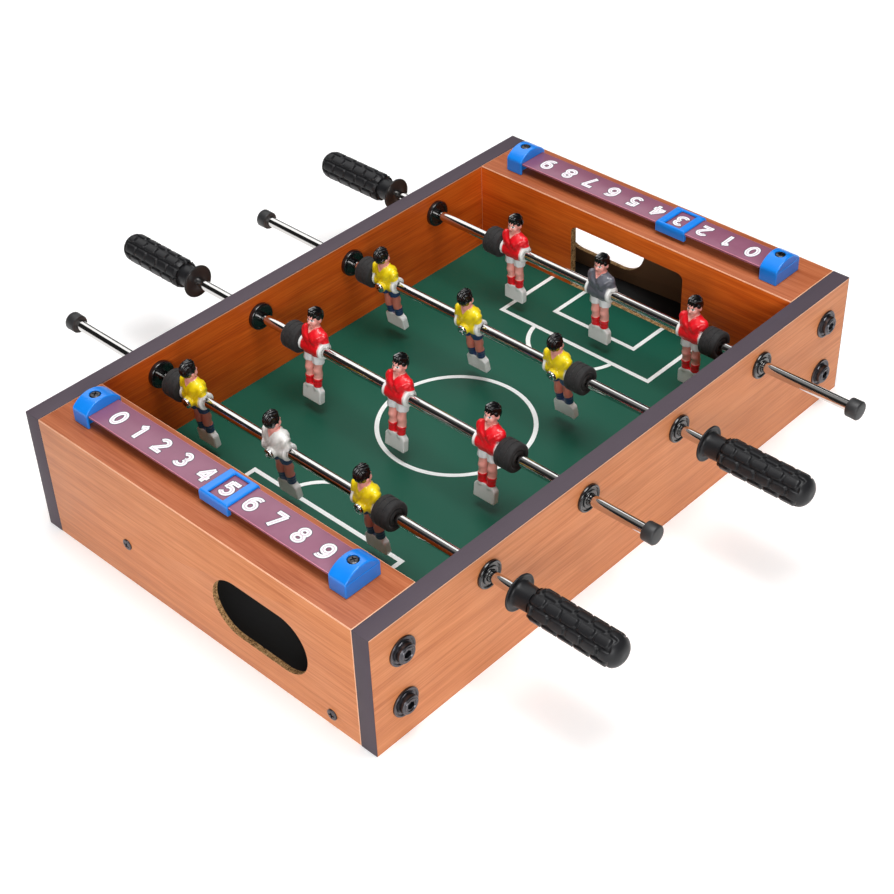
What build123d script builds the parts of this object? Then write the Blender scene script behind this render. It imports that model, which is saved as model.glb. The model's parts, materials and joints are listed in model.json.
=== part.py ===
from build123d import *
import os

# Tabletop football game: a laminated wooden cabinet with a green playing field, four steel
# rods that slide and spin in flanged bushings, twelve men, and a sliding scorer at each goal.
#
# X runs from goal to goal, Y runs along the rods and Z is up. All the functions below work
# in the cabinet's own frame, whose origin is under the middle of the cabinet on the floor.
# At the end everything moves along Y by the same amount, so that the row's origin is
# under the middle of the whole footprint, rods and grips included.
# "Left" is the goal at -X and "near" is the side at -Y. The cabinet looks the same after
# half a turn about Z, so each right-hand piece is its left-hand piece turned by 180 degrees.

# ---------------------------------------------------------------- driving dimensions, mm
LENGTH = 508.0              # over the ends of the side boards
WIDTH = 336.0               # over the faces of the side boards
HEIGHT = 102.0              # floor to the top of the side boards
SIDE_T = 14.0               # side board thickness
BAND_T = 0.6                # plastic edge band on the side boards
END_BOX = 55.5              # end face to the goal wall's face
PANEL_T = 6.0               # end top and goal wall
END_PANEL_T = 4.0
FIELD_TOP = 26.5            # floor to the playing surface
FIELD_T = 3.0

GOAL_W = 112.0
GOAL_TOP = 83.5
GOAL_CORNER_R = 6.0
HOLE_LENGTH = 90.0          # oval ball-return hole in each end panel
HOLE_HEIGHT = 47.5
HOLE_Y = -65.0              # centre of the left-hand hole
HOLE_Z = 46.2

ROD_R = 4.0
ROD_WALL = 0.8
ROD_Z = 82.5
ROD_PITCH = 97.3
ROD_ROW_X = -2.75           # middle of the row of rods, a little towards the left goal
ROD_SHIFT = {1: 26.0, 2: 6.0, 3: 26.0, 4: -20.0}     # how far each rod is pushed along Y
ROD_TURN = {1: 8.0, 2: -7.0, 3: 11.0, 4: 0.0}        # degrees; positive swings feet to +X
ROD_FACING = {1: 1, 2: -1, 3: 1, 4: -1}              # the way its men look along X
ROD_GRIP_SIDE = {1: -1, 2: 1, 3: -1, 4: 1}           # the way its grip points along Y

MEN_PITCH = 87.3
HUB_R = 6.5                 # the man's sleeve round the rod
HUB_HALF = 11.5
BUMPER_IN = 99.1            # rod middle to the bumper's inner face
BUMPER_OUT = 113.6
BUMPER_R = 11.0
CAP_IN = 222.5              # rod middle to the end cap's open face
CAP_OUT = 232.0
CAP_R = 7.2
GUARD_IN = 219.0            # rod middle to the grip's guard disc
GUARD_T = 1.6
GUARD_R = 13.4
NECK_R = 8.8
BARREL_IN = 234.0
GRIP_OUT = 303.0            # rod middle to the grip's tip
BARREL_R = 11.7
ROD_INTO_GRIP = 285.0       # rod middle to the rod's end inside the grip

RUNNING = 0.05              # radial clearance of what turns or slides on a round rod
SNUG = 0.02                 # radial gap of a fixed piece in its hole

BUSH_FLANGE_R = 10.5
BUSH_FLANGE_T = 2.5
BUSH_R = 7.8
BUSH_HOLE_R = 8.0
NUT_R = 10.8
NUT_T = 3.8

BOLT_X = 227.0
BOLT_HEIGHTS = (29.0, 74.0)
BOLT_R = 3.0
BOLT_HEAD_R = 6.8
BOLT_HEAD_H = 5.0
BOLT_LENGTH = 34.0
WASHER_R = 10.5
WASHER_T = 1.6
INSERT_R = 5.0
INSERT_LENGTH = 13.0
CHEEK_T = 14.0

PANEL_SCREWS = ((70.5, 36.5), (-129.0, 11.0))        # (y, z) on the left end panel
PANEL_SCREW_R = 4.0
PANEL_SCREW_LENGTH = 12.0

SCORER_X = -222.75          # middle line of the left scorer
DIGIT_PITCH = 22.5
BAR_HALF_W = 12.85
BAR_HALF_L = 131.0
BAR_T = 1.8
BAR_TOP = 10.0              # above the end top
BLOCK_HALF_W = 15.0
BLOCK_IN = 118.0
BLOCK_OUT = 133.5
BLOCK_SIDE_H = 11.5
BLOCK_CROWN_H = 18.5
SLIDER_HALF_W = 14.4
SLIDER_HALF_L = 14.0
SLIDER_TOP = 12.0
SLIDER_FOOT = 3.2
SLIDER_GAP = 0.3            # slider to bar, all round
WINDOW_HALF_W = 11.3
WINDOW_HALF_L = 7.0
LEFT_SCORE = 5              # the digits that the two windows show
RIGHT_SCORE = 3

# ------------------------------------------------------------------------ worked out
END_X = LENGTH / 2
SIDE_Y = WIDTH / 2
INNER_Y = SIDE_Y - SIDE_T
GOAL_X = END_X - END_BOX                 # goal wall face
BOX_OUT = END_X - END_PANEL_T            # inside face of the end panel
BOX_IN = GOAL_X + PANEL_T                # inside face of the goal wall
ROD_X = {n: ROD_ROW_X + (n - 2.5) * ROD_PITCH for n in (1, 2, 3, 4)}
FOOTPRINT_MID_Y = (ROD_SHIFT[1] + ROD_SHIFT[2]) / 2


# --------------------------------------------------------------------------- helpers
def slab(x_low, x_high, y_low, y_high, z_low, z_high):
    """A box between two corners."""
    middle = ((x_low + x_high) / 2, (y_low + y_high) / 2, (z_low + z_high) / 2)
    return Pos(*middle) * Box(x_high - x_low, y_high - y_low, z_high - z_low)


def along_x(radius, x_low, x_high, y, z):
    """A cylinder whose axis runs along X."""
    return Pos((x_low + x_high) / 2, y, z) * Rot(0, 90, 0) * Cylinder(radius, x_high - x_low)


def along_y(radius, y_low, y_high, x, z):
    """A cylinder whose axis runs along Y."""
    return Pos(x, (y_low + y_high) / 2, z) * Rot(90, 0, 0) * Cylinder(radius, y_high - y_low)


def prism_y(outline, y_low, y_high):
    """An outline of (x, z) points carried along Y."""
    wire = Wire.make_polygon([(x, y_low, z) for x, z in outline], close=True)
    return extrude(Face(wire), amount=y_high - y_low, dir=(0, 1, 0))


def prism_x(outline, x_low, x_high):
    """An outline of (y, z) points carried along X."""
    wire = Wire.make_polygon([(x_low, y, z) for y, z in outline], close=True)
    return extrude(Face(wire), amount=x_high - x_low, dir=(1, 0, 0))


def half_turn(shape):
    """The same piece at the other goal."""
    return Rot(0, 0, 180) * shape


# --------------------------------------------------------------------------- cabinet
def side_board():
    """Near side board, drilled for the rods' bushings and the corner bolts."""
    board = slab(-END_X + BAND_T, END_X - BAND_T, -SIDE_Y, -INNER_Y, 0, HEIGHT - BAND_T)
    for x in ROD_X.values():
        board -= along_y(BUSH_HOLE_R, -SIDE_Y, -INNER_Y, x, ROD_Z)
    for x in (-BOLT_X, BOLT_X):
        for z in BOLT_HEIGHTS:
            board -= along_y(BOLT_R + 0.3, -SIDE_Y, -INNER_Y, x, z)
    return board


def far_side_board():
    """Far side board; the rods aren't quite central, so it is not the near board turned."""
    return mirror(side_board(), about=Plane.XZ)


def edge_bands():
    """Plastic strips on the near board's top edge and on its two ends."""
    low = HEIGHT - BAND_T
    top = slab(-END_X, END_X, -SIDE_Y, -INNER_Y, low, HEIGHT)
    left = slab(-END_X, -END_X + BAND_T, -SIDE_Y, -INNER_Y, 0, low)
    return [top, left, half_turn(mirror(left, about=Plane.XZ))]


def oval_hole():
    """Cutter for the ball-return hole of the left end panel."""
    radius = HOLE_HEIGHT / 2
    reach = HOLE_LENGTH / 2 - radius
    cutter = slab(-END_X - 1, -BOX_OUT + 1, HOLE_Y - reach, HOLE_Y + reach,
                  HOLE_Z - radius, HOLE_Z + radius)
    for y in (HOLE_Y - reach, HOLE_Y + reach):
        cutter += along_x(radius, -END_X - 1, -BOX_OUT + 1, y, HOLE_Z)
    return cutter


def end_panel():
    """Left end panel, mitred to the end top, with its oval hole and two screw holes."""
    outline = [(-END_X, 0), (-BOX_OUT, 0), (-BOX_OUT, HEIGHT - PANEL_T), (-END_X, HEIGHT)]
    panel = prism_y(outline, -INNER_Y, INNER_Y) - oval_hole()
    for y, z in PANEL_SCREWS:
        panel -= panel_screw(y, z, SNUG)
    return panel


def end_top():
    """Left end top, mitred to the end panel and to the goal wall."""
    low = HEIGHT - PANEL_T
    outline = [(-END_X, HEIGHT), (-BOX_OUT, low), (-BOX_IN, low), (-GOAL_X, HEIGHT)]
    top = prism_y(outline, -INNER_Y, INNER_Y)
    for y in scorer_screw_places():
        top -= Pos(SCORER_X, y, HEIGHT) * Cylinder(1.5 + SNUG, 3 * PANEL_T)
    return top


def goal_wall():
    """Left goal wall; the opening has rounded upper corners and starts at the field."""
    outline = [(-GOAL_X, HEIGHT), (-BOX_IN, HEIGHT - PANEL_T), (-BOX_IN, 0), (-GOAL_X, 0)]
    opening = slab(-BOX_IN - 1, -GOAL_X + 1, -GOAL_W / 2, GOAL_W / 2, FIELD_TOP, GOAL_TOP)
    corners = opening.edges().filter_by(Axis.X).group_by(Axis.Z)[-1]
    return prism_y(outline, -INNER_Y, INNER_Y) - fillet(corners, GOAL_CORNER_R)


def end_cheeks():
    """Four wooden cheeks inside the end boxes; the corner bolts pull the sides onto them."""
    cheek = slab(-BOX_OUT, -BOX_IN, -INNER_Y, -INNER_Y + CHEEK_T, 0, HEIGHT - PANEL_T)
    for z in BOLT_HEIGHTS:
        cheek -= along_y(INSERT_R, -INNER_Y, -INNER_Y + CHEEK_T, -BOLT_X, z)
    pair = [cheek, mirror(cheek, about=Plane.XZ)]
    return pair + [half_turn(one) for one in pair]


def playing_field():
    """Thin painted board between the goal walls."""
    return slab(-GOAL_X, GOAL_X, -INNER_Y, INNER_Y, FIELD_TOP - FIELD_T, FIELD_TOP)


def field_battens():
    """Two battens that carry the field along the side boards."""
    batten = slab(-GOAL_X, GOAL_X, -INNER_Y, -INNER_Y + 10, 9.5, FIELD_TOP - FIELD_T)
    return [batten, half_turn(batten)]


RAMP_HIGH_Y = 64.0
RAMP_LOW_Y = -122.5
RAMP_HIGH_Z = 17.0
RAMP_LOW_Z = 7.0
RAMP_T = 3.0
RAMP_LEDGE = 6.0


def ball_ramp():
    """Black board on which a scored ball rolls to the left-hand oval hole."""
    outline = [(RAMP_LOW_Y, RAMP_LOW_Z - RAMP_T), (RAMP_HIGH_Y, RAMP_HIGH_Z - RAMP_T),
               (RAMP_HIGH_Y, RAMP_HIGH_Z), (RAMP_LOW_Y, RAMP_LOW_Z)]
    return prism_x(outline, -BOX_OUT, -BOX_IN)


def ramp_blocks():
    """Stepped wooden blocks at both ends of the left ramp, screwed through the end panel."""
    slope = (RAMP_HIGH_Z - RAMP_LOW_Z) / (RAMP_HIGH_Y - RAMP_LOW_Y)
    high_under = RAMP_HIGH_Z - RAMP_T
    low_under = RAMP_LOW_Z - RAMP_T
    high = [(RAMP_HIGH_Y - RAMP_LEDGE, 0), (77, 0), (77, 45), (RAMP_HIGH_Y, 45),
            (RAMP_HIGH_Y, high_under), (RAMP_HIGH_Y - RAMP_LEDGE, high_under - slope * RAMP_LEDGE)]
    low = [(RAMP_LOW_Y + RAMP_LEDGE, 0), (RAMP_LOW_Y + RAMP_LEDGE, low_under + slope * RAMP_LEDGE),
           (RAMP_LOW_Y, low_under), (RAMP_LOW_Y, 22), (-INNER_Y + CHEEK_T, 22),
           (-INNER_Y + CHEEK_T, 0)]
    blocks = []
    for outline, (y, z) in zip((high, low), PANEL_SCREWS):
        block = prism_x(outline, -BOX_OUT, -BOX_IN) - panel_screw(y, z, SNUG)
        blocks += [block, half_turn(block)]
    return blocks


# ------------------------------------------------------------------------- fasteners
def cross_recess(size, depth):
    """Cutter for a cross-head drive, its top at z = 0."""
    blade = Pos(0, 0, -depth / 2) * Box(size, size * 0.24, depth)
    return blade + Rot(0, 0, 90) * blade


def panel_screw(y, z, gap=0.0):
    """Countersunk screw through the left end panel; with a gap it is the hole's cutter."""
    head = Pos(0, 0, -1.3) * Cone(1.2 + gap, PANEL_SCREW_R + gap, 2.6)
    shank = Pos(0, 0, -PANEL_SCREW_LENGTH / 2) * Cylinder(1.2 + gap, PANEL_SCREW_LENGTH)
    screw = head + shank
    if gap == 0:
        screw -= cross_recess(4.6, 1.4)
    return Pos(-END_X, y, z) * Rot(0, -90, 0) * screw


def panel_screws():
    left = [panel_screw(y, z) for y, z in PANEL_SCREWS]
    return left + [half_turn(screw) for screw in left]


def at_bolt_places(piece):
    """Copies of a piece made along -Y from the near board's face, at all eight bolts."""
    copies = []
    for z in BOLT_HEIGHTS:
        for x in (-BOLT_X, BOLT_X):
            near = Pos(x, -SIDE_Y, z) * piece
            copies += [near, half_turn(near)]
    return copies


def corner_washer():
    ring = along_y(WASHER_R, -WASHER_T, 0, 0, 0) - along_y(BOLT_R + 0.3, -WASHER_T, 0, 0, 0)
    return chamfer(ring.edges().group_by(Axis.Y)[0].sort_by(SortBy.LENGTH)[-1], 0.5)


def corner_bolt():
    """Socket-head bolt; its head sits on the washer."""
    head = along_y(BOLT_HEAD_R, -WASHER_T - BOLT_HEAD_H, -WASHER_T, 0, 0)
    head = fillet(head.edges().group_by(Axis.Y)[0], 0.8)
    socket = extrude(Plane.XZ * RegularPolygon(3.2, 6), amount=3.2)
    head -= Pos(0, -WASHER_T - BOLT_HEAD_H + 3.2, 0) * socket
    return head + along_y(BOLT_R, -WASHER_T, BOLT_LENGTH, 0, 0)


def insert_nut():
    """Threaded sleeve in the cheek; the thread itself is left plain."""
    low = SIDE_T + CHEEK_T - INSERT_LENGTH
    sleeve = along_y(INSERT_R - SNUG, low, low + INSERT_LENGTH, 0, 0)
    return sleeve - along_y(BOLT_R + SNUG, low, low + INSERT_LENGTH, 0, 0)


def rod_bushing(x):
    """Flanged plastic bushing in the near board, its sleeve reaching past the inner face."""
    flange = along_y(BUSH_FLANGE_R, -SIDE_Y - BUSH_FLANGE_T, -SIDE_Y, x, ROD_Z)
    flange = fillet(flange.edges().group_by(Axis.Y)[0], 1.0)
    sleeve = along_y(BUSH_R, -SIDE_Y, -INNER_Y + NUT_T - 0.8, x, ROD_Z)
    return flange + sleeve - along_y(ROD_R + RUNNING, -SIDE_Y - 5, -INNER_Y + NUT_T, x, ROD_Z)


def bushing_nut(x):
    """Ring nut that clamps the bushing from inside the cabinet."""
    ring = along_y(NUT_R, -INNER_Y, -INNER_Y + NUT_T, x, ROD_Z)
    ring = chamfer(ring.edges().group_by(Axis.Y)[-1], 1.0)
    return ring - along_y(BUSH_R + SNUG, -INNER_Y, -INNER_Y + NUT_T, x, ROD_Z)


def both_sides(make):
    """One piece for each end of each rod's bearing."""
    near = [make(x) for x in ROD_X.values()]
    return near + [mirror(piece, about=Plane.XZ) for piece in near]


# --------------------------------------------------------------------------- scorers
SCREW_SEAT = BLOCK_CROWN_H - 1.8


def scorer_screw_places():
    middle = (BLOCK_IN + BLOCK_OUT) / 2
    return (-middle, middle)


def scorer_block():
    """Arched end block of the left scorer at its far end, slotted for the bar."""
    side = HEIGHT + BLOCK_SIDE_H
    crown = HEIGHT + BLOCK_CROWN_H
    foot_left = (SCORER_X - BLOCK_HALF_W, BLOCK_IN, HEIGHT)
    foot_right = (SCORER_X + BLOCK_HALF_W, BLOCK_IN, HEIGHT)
    shoulder_left = (SCORER_X - BLOCK_HALF_W, BLOCK_IN, side)
    shoulder_right = (SCORER_X + BLOCK_HALF_W, BLOCK_IN, side)
    arch = ThreePointArc(shoulder_right, (SCORER_X, BLOCK_IN, crown), shoulder_left)
    sides = Polyline(shoulder_left, foot_left, foot_right, shoulder_right)
    block = extrude(make_face([arch, sides]), amount=BLOCK_OUT - BLOCK_IN, dir=(0, 1, 0))
    bar_low = HEIGHT + BAR_TOP - BAR_T
    reach = BAR_HALF_W + SLIDER_GAP
    slot = slab(SCORER_X - reach, SCORER_X + reach, BLOCK_IN - 1, BAR_HALF_L + 0.2,
                bar_low, HEIGHT + BAR_TOP + 0.05)
    recess = slab(SCORER_X - reach, SCORER_X + reach, BLOCK_IN - 1, BLOCK_IN + 4.5,
                  HEIGHT - 1, bar_low + 0.5)
    middle = scorer_screw_places()[1]
    seat = Pos(SCORER_X, middle, HEIGHT + SCREW_SEAT + 5) * Cylinder(4.1, 10)
    hole = Pos(SCORER_X, middle, HEIGHT + 10) * Cylinder(1.5 + SNUG, 30)
    return block - slot - recess - seat - hole


def scorer_blocks():
    far = scorer_block()
    near = mirror(far, about=Plane.XZ)
    return [far, near, half_turn(far), half_turn(near)]


def scorer_bar():
    """Flat strip that carries the left scorer's digits."""
    top = HEIGHT + BAR_TOP
    bar = slab(SCORER_X - BAR_HALF_W, SCORER_X + BAR_HALF_W, -BAR_HALF_L, BAR_HALF_L,
               top - BAR_T, top)
    for y in scorer_screw_places():
        bar -= Pos(SCORER_X, y, top) * Cylinder(1.5 + SNUG, 10)
    return bar


def scorer_screws():
    """Pan-head screws through block, bar and end top."""
    head = Pos(0, 0, 0.85) * Cylinder(3.8, 1.7)
    head = fillet(head.edges().group_by(Axis.Z)[-1], 0.7)
    head -= Pos(0, 0, 1.7) * cross_recess(4.4, 1.2)
    screw = head + Pos(0, 0, -11) * Cylinder(1.5, 22)
    left = [Pos(SCORER_X, y, HEIGHT + SCREW_SEAT) * screw for y in scorer_screw_places()]
    return left + [half_turn(one) for one in left]


def scorer_slider(digit):
    """Window frame that hooks round the left bar, centred on a digit; 0 is at the far end."""
    y = (4.5 - digit) * DIGIT_PITCH
    bar_low = BAR_TOP - BAR_T
    body = slab(-SLIDER_HALF_W, SLIDER_HALF_W, -SLIDER_HALF_L, SLIDER_HALF_L,
                SLIDER_FOOT, SLIDER_TOP)
    body = fillet(body.edges().group_by(Axis.Z)[-1], 0.8)
    reach = BAR_HALF_W + SLIDER_GAP
    body -= slab(-reach, reach, -20, 20, bar_low - SLIDER_GAP, BAR_TOP + SLIDER_GAP)
    body -= slab(-reach + 1.8, reach - 1.8, -20, 20, 0, bar_low)
    body -= slab(-WINDOW_HALF_W, WINDOW_HALF_W, -WINDOW_HALF_L, WINDOW_HALF_L, 0, 20)
    return Pos(SCORER_X, y, HEIGHT) * body


# ------------------------------------------------------------------------------ rods
def rod_tube(n):
    """Steel tube with a cross hole behind each man."""
    side = ROD_GRIP_SIDE[n]
    ends = sorted((side * ROD_INTO_GRIP, -side * (CAP_OUT - 2)))
    tube = along_y(ROD_R, *ends, 0, 0) - along_y(ROD_R - ROD_WALL, *ends, 0, 0)
    for y in (-MEN_PITCH, 0, MEN_PITCH):
        tube -= along_x(1.5 + SNUG, -ROD_R, 0, y, 0)
    return tube


def grip():
    """Grip for the -Y end: guard disc, neck and a round-ended barrel, bored for the rod."""
    guard = along_y(GUARD_R, -GUARD_IN - GUARD_T, -GUARD_IN, 0, 0)
    flare = Pos(0, -GUARD_IN - GUARD_T - 1, 0) * Rot(90, 0, 0) * Cone(GUARD_R - 1, NECK_R, 2)
    neck = along_y(NECK_R, -BARREL_IN - 2, -GUARD_IN, 0, 0)
    barrel = along_y(BARREL_R, -GRIP_OUT, -BARREL_IN, 0, 0)
    barrel = fillet(barrel.edges().group_by(Axis.Y)[0], 9.5)
    barrel = fillet(barrel.edges().group_by(Axis.Y)[-1], 2.4)
    return guard + flare + neck + barrel - along_y(ROD_R, -ROD_INTO_GRIP, 0, 0, 0)


def end_cap():
    """Plastic cap for the +Y end."""
    cap = along_y(CAP_R, CAP_IN, CAP_OUT, 0, 0)
    cap = fillet(cap.edges().group_by(Axis.Y)[-1], 1.2)
    return cap - along_y(ROD_R, 0, CAP_OUT - 2, 0, 0)


def bumpers():
    """Two rubber rings that stop the rod at the bushings; the rod turns freely in them."""
    ring = along_y(BUMPER_R, BUMPER_IN, BUMPER_OUT, 0, 0)
    ring = fillet(ring.edges().group_by(Axis.Y)[-1], 1.5)
    ring -= along_y(ROD_R + RUNNING, BUMPER_IN, BUMPER_OUT, 0, 0)
    return [ring, mirror(ring, about=Plane.XZ)]


# The man stands on the rod's axis and looks along +X. Heights are from that axis.
TORSO = ((-12, 5.4, 8.6), (-5, 6.2, 9.6), (1, 6.8, 11.0), (8, 6.3, 11.4), (14, 5.2, 10.2),
         (17.5, 3.6, 4.6))                           # (height, half depth, half width)
HEAD_R = 7.6
HEAD_Z = 26.3
LEG_Y = 4.3
FOOT_HALF_W = 9.6
FOOT_HALF_T = 2.8
FOOT_LOW = -46.6
FOOT_HIGH = -32.5
FOOT_CORNER = 3.4
BACK_X = -9.0               # screw seat behind the man


def man():
    """One moulded figure: head, torso, legs, foot block and a sleeve for the rod."""
    body = loft([Pos(0, 0, z) * Ellipse(depth, width) for z, depth, width in TORSO])
    body += Pos(0, 0, HEAD_Z) * Sphere(HEAD_R)
    body += Pos(1.6, 0, HEAD_Z - 4.6) * Sphere(5.2)
    body += Pos(0, 0, 17) * Cylinder(3.6, 8)
    for y in (-LEG_Y, LEG_Y):
        body += Pos(0, y, -22) * Cone(3.5, 4.2, 24)
    shoulder = FOOT_HIGH - FOOT_CORNER
    outline = [(-FOOT_HALF_W, FOOT_LOW), (FOOT_HALF_W, FOOT_LOW), (FOOT_HALF_W, shoulder),
               (FOOT_HALF_W - FOOT_CORNER, FOOT_HIGH), (FOOT_CORNER - FOOT_HALF_W, FOOT_HIGH),
               (-FOOT_HALF_W, shoulder)]
    body += prism_x(outline, -FOOT_HALF_T, FOOT_HALF_T)
    body += along_y(HUB_R, -HUB_HALF, HUB_HALF, 0, 0)
    body += along_x(4.4, BACK_X, -4, 0, 0)
    body -= along_y(ROD_R + SNUG, -HUB_HALF - 1, HUB_HALF + 1, 0, 0)
    return body - along_x(1.5 + SNUG, BACK_X - 1, 0, 0, 0)


def man_screw():
    """Pan-head screw from the man's back into the rod."""
    head = Pos(0, 0, 0.9) * Cylinder(3.4, 1.8)
    head = fillet(head.edges().group_by(Axis.Z)[-1], 0.8)
    head -= Pos(0, 0, 1.8) * cross_recess(4.0, 1.2)
    screw = head + Pos(0, 0, -3.5) * Cylinder(1.5, 7)
    return Pos(BACK_X, 0, 0) * Rot(0, -90, 0) * screw


def rod_nodes(n):
    """Everything on one rod, each piece placed in the cabinet."""
    place = Pos(ROD_X[n], ROD_SHIFT[n], ROD_Z)
    turned = place * Rot(0, -ROD_TURN[n], 0)
    facing = Rot(0, 0, 0 if ROD_FACING[n] > 0 else 180)
    handed = Rot(0, 0, 0 if ROD_GRIP_SIDE[n] < 0 else 180)
    tube = rod_tube(n) if ROD_FACING[n] > 0 else mirror(rod_tube(n), about=Plane.YZ)
    figure = man()
    screw = man_screw()
    spots = {"near": -MEN_PITCH, "middle": 0, "far": MEN_PITCH}
    nodes = {f"rod_{n}_tube": turned * tube,
             f"rod_{n}_grip": turned * handed * grip(),
             f"rod_{n}_end_cap": turned * handed * end_cap(),
             f"rod_{n}_bumpers": [place * ring for ring in bumpers()],
             f"rod_{n}_man_screws": [turned * Pos(0, y, 0) * facing * screw
                                     for y in spots.values()]}
    for spot, y in spots.items():
        nodes[f"rod_{n}_man_{spot}"] = turned * Pos(0, y, 0) * facing * figure
    return nodes


# ------------------------------------------------------------------------------ build
def all_nodes():
    nodes = {
        "side_board_near": side_board(),
        "side_board_far": far_side_board(),
        "edge_bands_near": edge_bands(),
        "edge_bands_far": [mirror(band, about=Plane.XZ) for band in edge_bands()],
        "end_panel_left": end_panel(),
        "end_panel_right": half_turn(end_panel()),
        "end_top_left": end_top(),
        "end_top_right": half_turn(end_top()),
        "goal_wall_left": goal_wall(),
        "goal_wall_right": half_turn(goal_wall()),
        "end_cheeks": end_cheeks(),
        "playing_field": playing_field(),
        "field_battens": field_battens(),
        "ball_ramp_left": ball_ramp(),
        "ball_ramp_right": half_turn(ball_ramp()),
        "ramp_blocks": ramp_blocks(),
        "panel_screws": panel_screws(),
        "corner_bolts": at_bolt_places(corner_bolt()),
        "corner_washers": at_bolt_places(corner_washer()),
        "insert_nuts": at_bolt_places(insert_nut()),
        "rod_bushings": both_sides(rod_bushing),
        "bushing_nuts": both_sides(bushing_nut),
        "scorer_bar_left": scorer_bar(),
        "scorer_bar_right": half_turn(scorer_bar()),
        "scorer_blocks": scorer_blocks(),
        "scorer_screws": scorer_screws(),
        "scorer_slider_left": scorer_slider(LEFT_SCORE),
        "scorer_slider_right": half_turn(scorer_slider(RIGHT_SCORE)),
    }
    for n in (1, 2, 3, 4):
        nodes.update(rod_nodes(n))
    return nodes


os.makedirs("parts", exist_ok=True)
for name, shape in all_nodes().items():
    pieces = shape if isinstance(shape, list) else [shape]
    solids = [solid for piece in pieces for solid in piece.solids()]
    placed = [Pos(0, -FOOTPRINT_MID_Y, 0) * solid for solid in solids]
    export_step(placed[0] if len(placed) == 1 else Compound(children=placed),
                f"parts/{name}.step")
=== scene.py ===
import json
import math

import bpy
import numpy as np
from mathutils import Matrix, Vector


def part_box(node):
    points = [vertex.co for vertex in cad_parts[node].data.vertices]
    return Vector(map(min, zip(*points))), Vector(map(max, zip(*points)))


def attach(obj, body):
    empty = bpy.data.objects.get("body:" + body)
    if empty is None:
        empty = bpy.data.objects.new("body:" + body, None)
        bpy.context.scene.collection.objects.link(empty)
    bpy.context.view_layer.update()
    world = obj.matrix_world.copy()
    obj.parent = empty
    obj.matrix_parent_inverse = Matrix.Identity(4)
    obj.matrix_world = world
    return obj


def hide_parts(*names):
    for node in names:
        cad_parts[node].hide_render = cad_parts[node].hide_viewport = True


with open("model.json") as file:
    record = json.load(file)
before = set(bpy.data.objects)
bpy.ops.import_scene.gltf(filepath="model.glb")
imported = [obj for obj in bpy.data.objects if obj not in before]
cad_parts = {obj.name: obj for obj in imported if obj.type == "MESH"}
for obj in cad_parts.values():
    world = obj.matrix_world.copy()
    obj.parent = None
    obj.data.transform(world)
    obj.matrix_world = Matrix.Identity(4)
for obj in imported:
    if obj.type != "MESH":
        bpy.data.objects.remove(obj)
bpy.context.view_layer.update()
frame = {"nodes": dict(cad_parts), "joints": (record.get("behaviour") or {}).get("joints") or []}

# Looks of a tabletop football game: laminated boards with plastic edge bands, a painted
# field, chromed rods with rubber bumpers and moulded grips, twelve painted men, and a
# number strip with a sliding window over each goal.
#
# Shapes are worked out in millimetres in the frame's own axes: X from goal to goal, Y along
# the rods, Z up. "Left" is the goal at -X and "near" is the side at -Y.
MM = 0.001

# ------------------------------------------------------------------ sizes from the frame


def corners(*nodes):
    """Lowest and highest corner of some CAD nodes together, in millimetres."""
    boxes = [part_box(node) for node in nodes]
    low = np.min([tuple(low) for low, high in boxes], axis=0)
    high = np.max([tuple(high) for low, high in boxes], axis=0)
    return low / MM, high / MM


JOINTS = {joint["name"]: joint for joint in frame["joints"]}
RODS = (1, 2, 3, 4)
SPOTS = ("near", "middle", "far")

BOARD_LOW, BOARD_HIGH = corners("side_board_near", "side_board_far", "edge_bands_near",
                                "edge_bands_far")
END_X = BOARD_HIGH[0]
HEIGHT = BOARD_HIGH[2]
MID_Y = (BOARD_LOW[1] + BOARD_HIGH[1]) / 2
SIDE_Y = (BOARD_HIGH[1] - BOARD_LOW[1]) / 2
INNER_Y = (corners("end_top_left")[1][1] - corners("end_top_left")[0][1]) / 2
GOAL_X = corners("playing_field")[1][0]
FIELD_TOP = corners("playing_field")[1][2]
PANEL_T = 6.0
END_PANEL_T = 4.0
GOAL_HALF_W = 56.0
GOAL_TOP = 83.5
GOAL_CORNER_R = 6.0
HOLE_Y = -65.0              # middle of the left oval hole, from the cabinet's middle
HOLE_HALF_L = 45.0
HOLE_R = 23.75
HOLE_Z = 46.2

ROD_PLACE = {n: np.array(JOINTS[f"rod_{n}_spin"]["pos_m"]) / MM for n in RODS}
ROD_LEAN = {1: 8.0, 2: -7.0, 3: 11.0, 4: 0.0}        # degrees; positive swings feet to +X
ROD_FACING = {1: 0.0, 2: 180.0, 3: 0.0, 4: 180.0}    # the way its men look, turned from +X
ROD_HAND = {1: 0.0, 2: 180.0, 3: 0.0, 4: 180.0}      # the grip's end, turned from -Y
ROD_R = 4.0
MEN_PITCH = 87.3
MEN_Y = (-MEN_PITCH, 0, MEN_PITCH)
SCORER_X = -222.75
DIGIT_PITCH = 22.5
TURN_ABOUT = Matrix.Rotation(math.pi, 4, "Z")        # the table is the same after half a turn
ENDS = (("left", Matrix.Identity(4)), ("right", TURN_ABOUT))
SIDES = (("near", Matrix.Identity(4)), ("far", TURN_ABOUT))

# --------------------------------------------------------------------------- node trees


class Term:
    """A value in a node tree that Python's own operators work on."""

    def __init__(self, tree, socket):
        self.tree = tree
        self.socket = socket

    def __add__(self, other):
        return self.tree.maths("ADD", self, other)

    def __sub__(self, other):
        return self.tree.maths("SUBTRACT", self, other)

    def __rsub__(self, other):
        return self.tree.maths("SUBTRACT", other, self)

    def __mul__(self, other):
        return self.tree.maths("MULTIPLY", self, other)

    def __truediv__(self, other):
        return self.tree.maths("DIVIDE", self, other)

    def __pow__(self, other):
        return self.tree.maths("POWER", self, other)

    def __abs__(self):
        return self.tree.maths("ABSOLUTE", self)

    __radd__ = __add__


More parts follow.
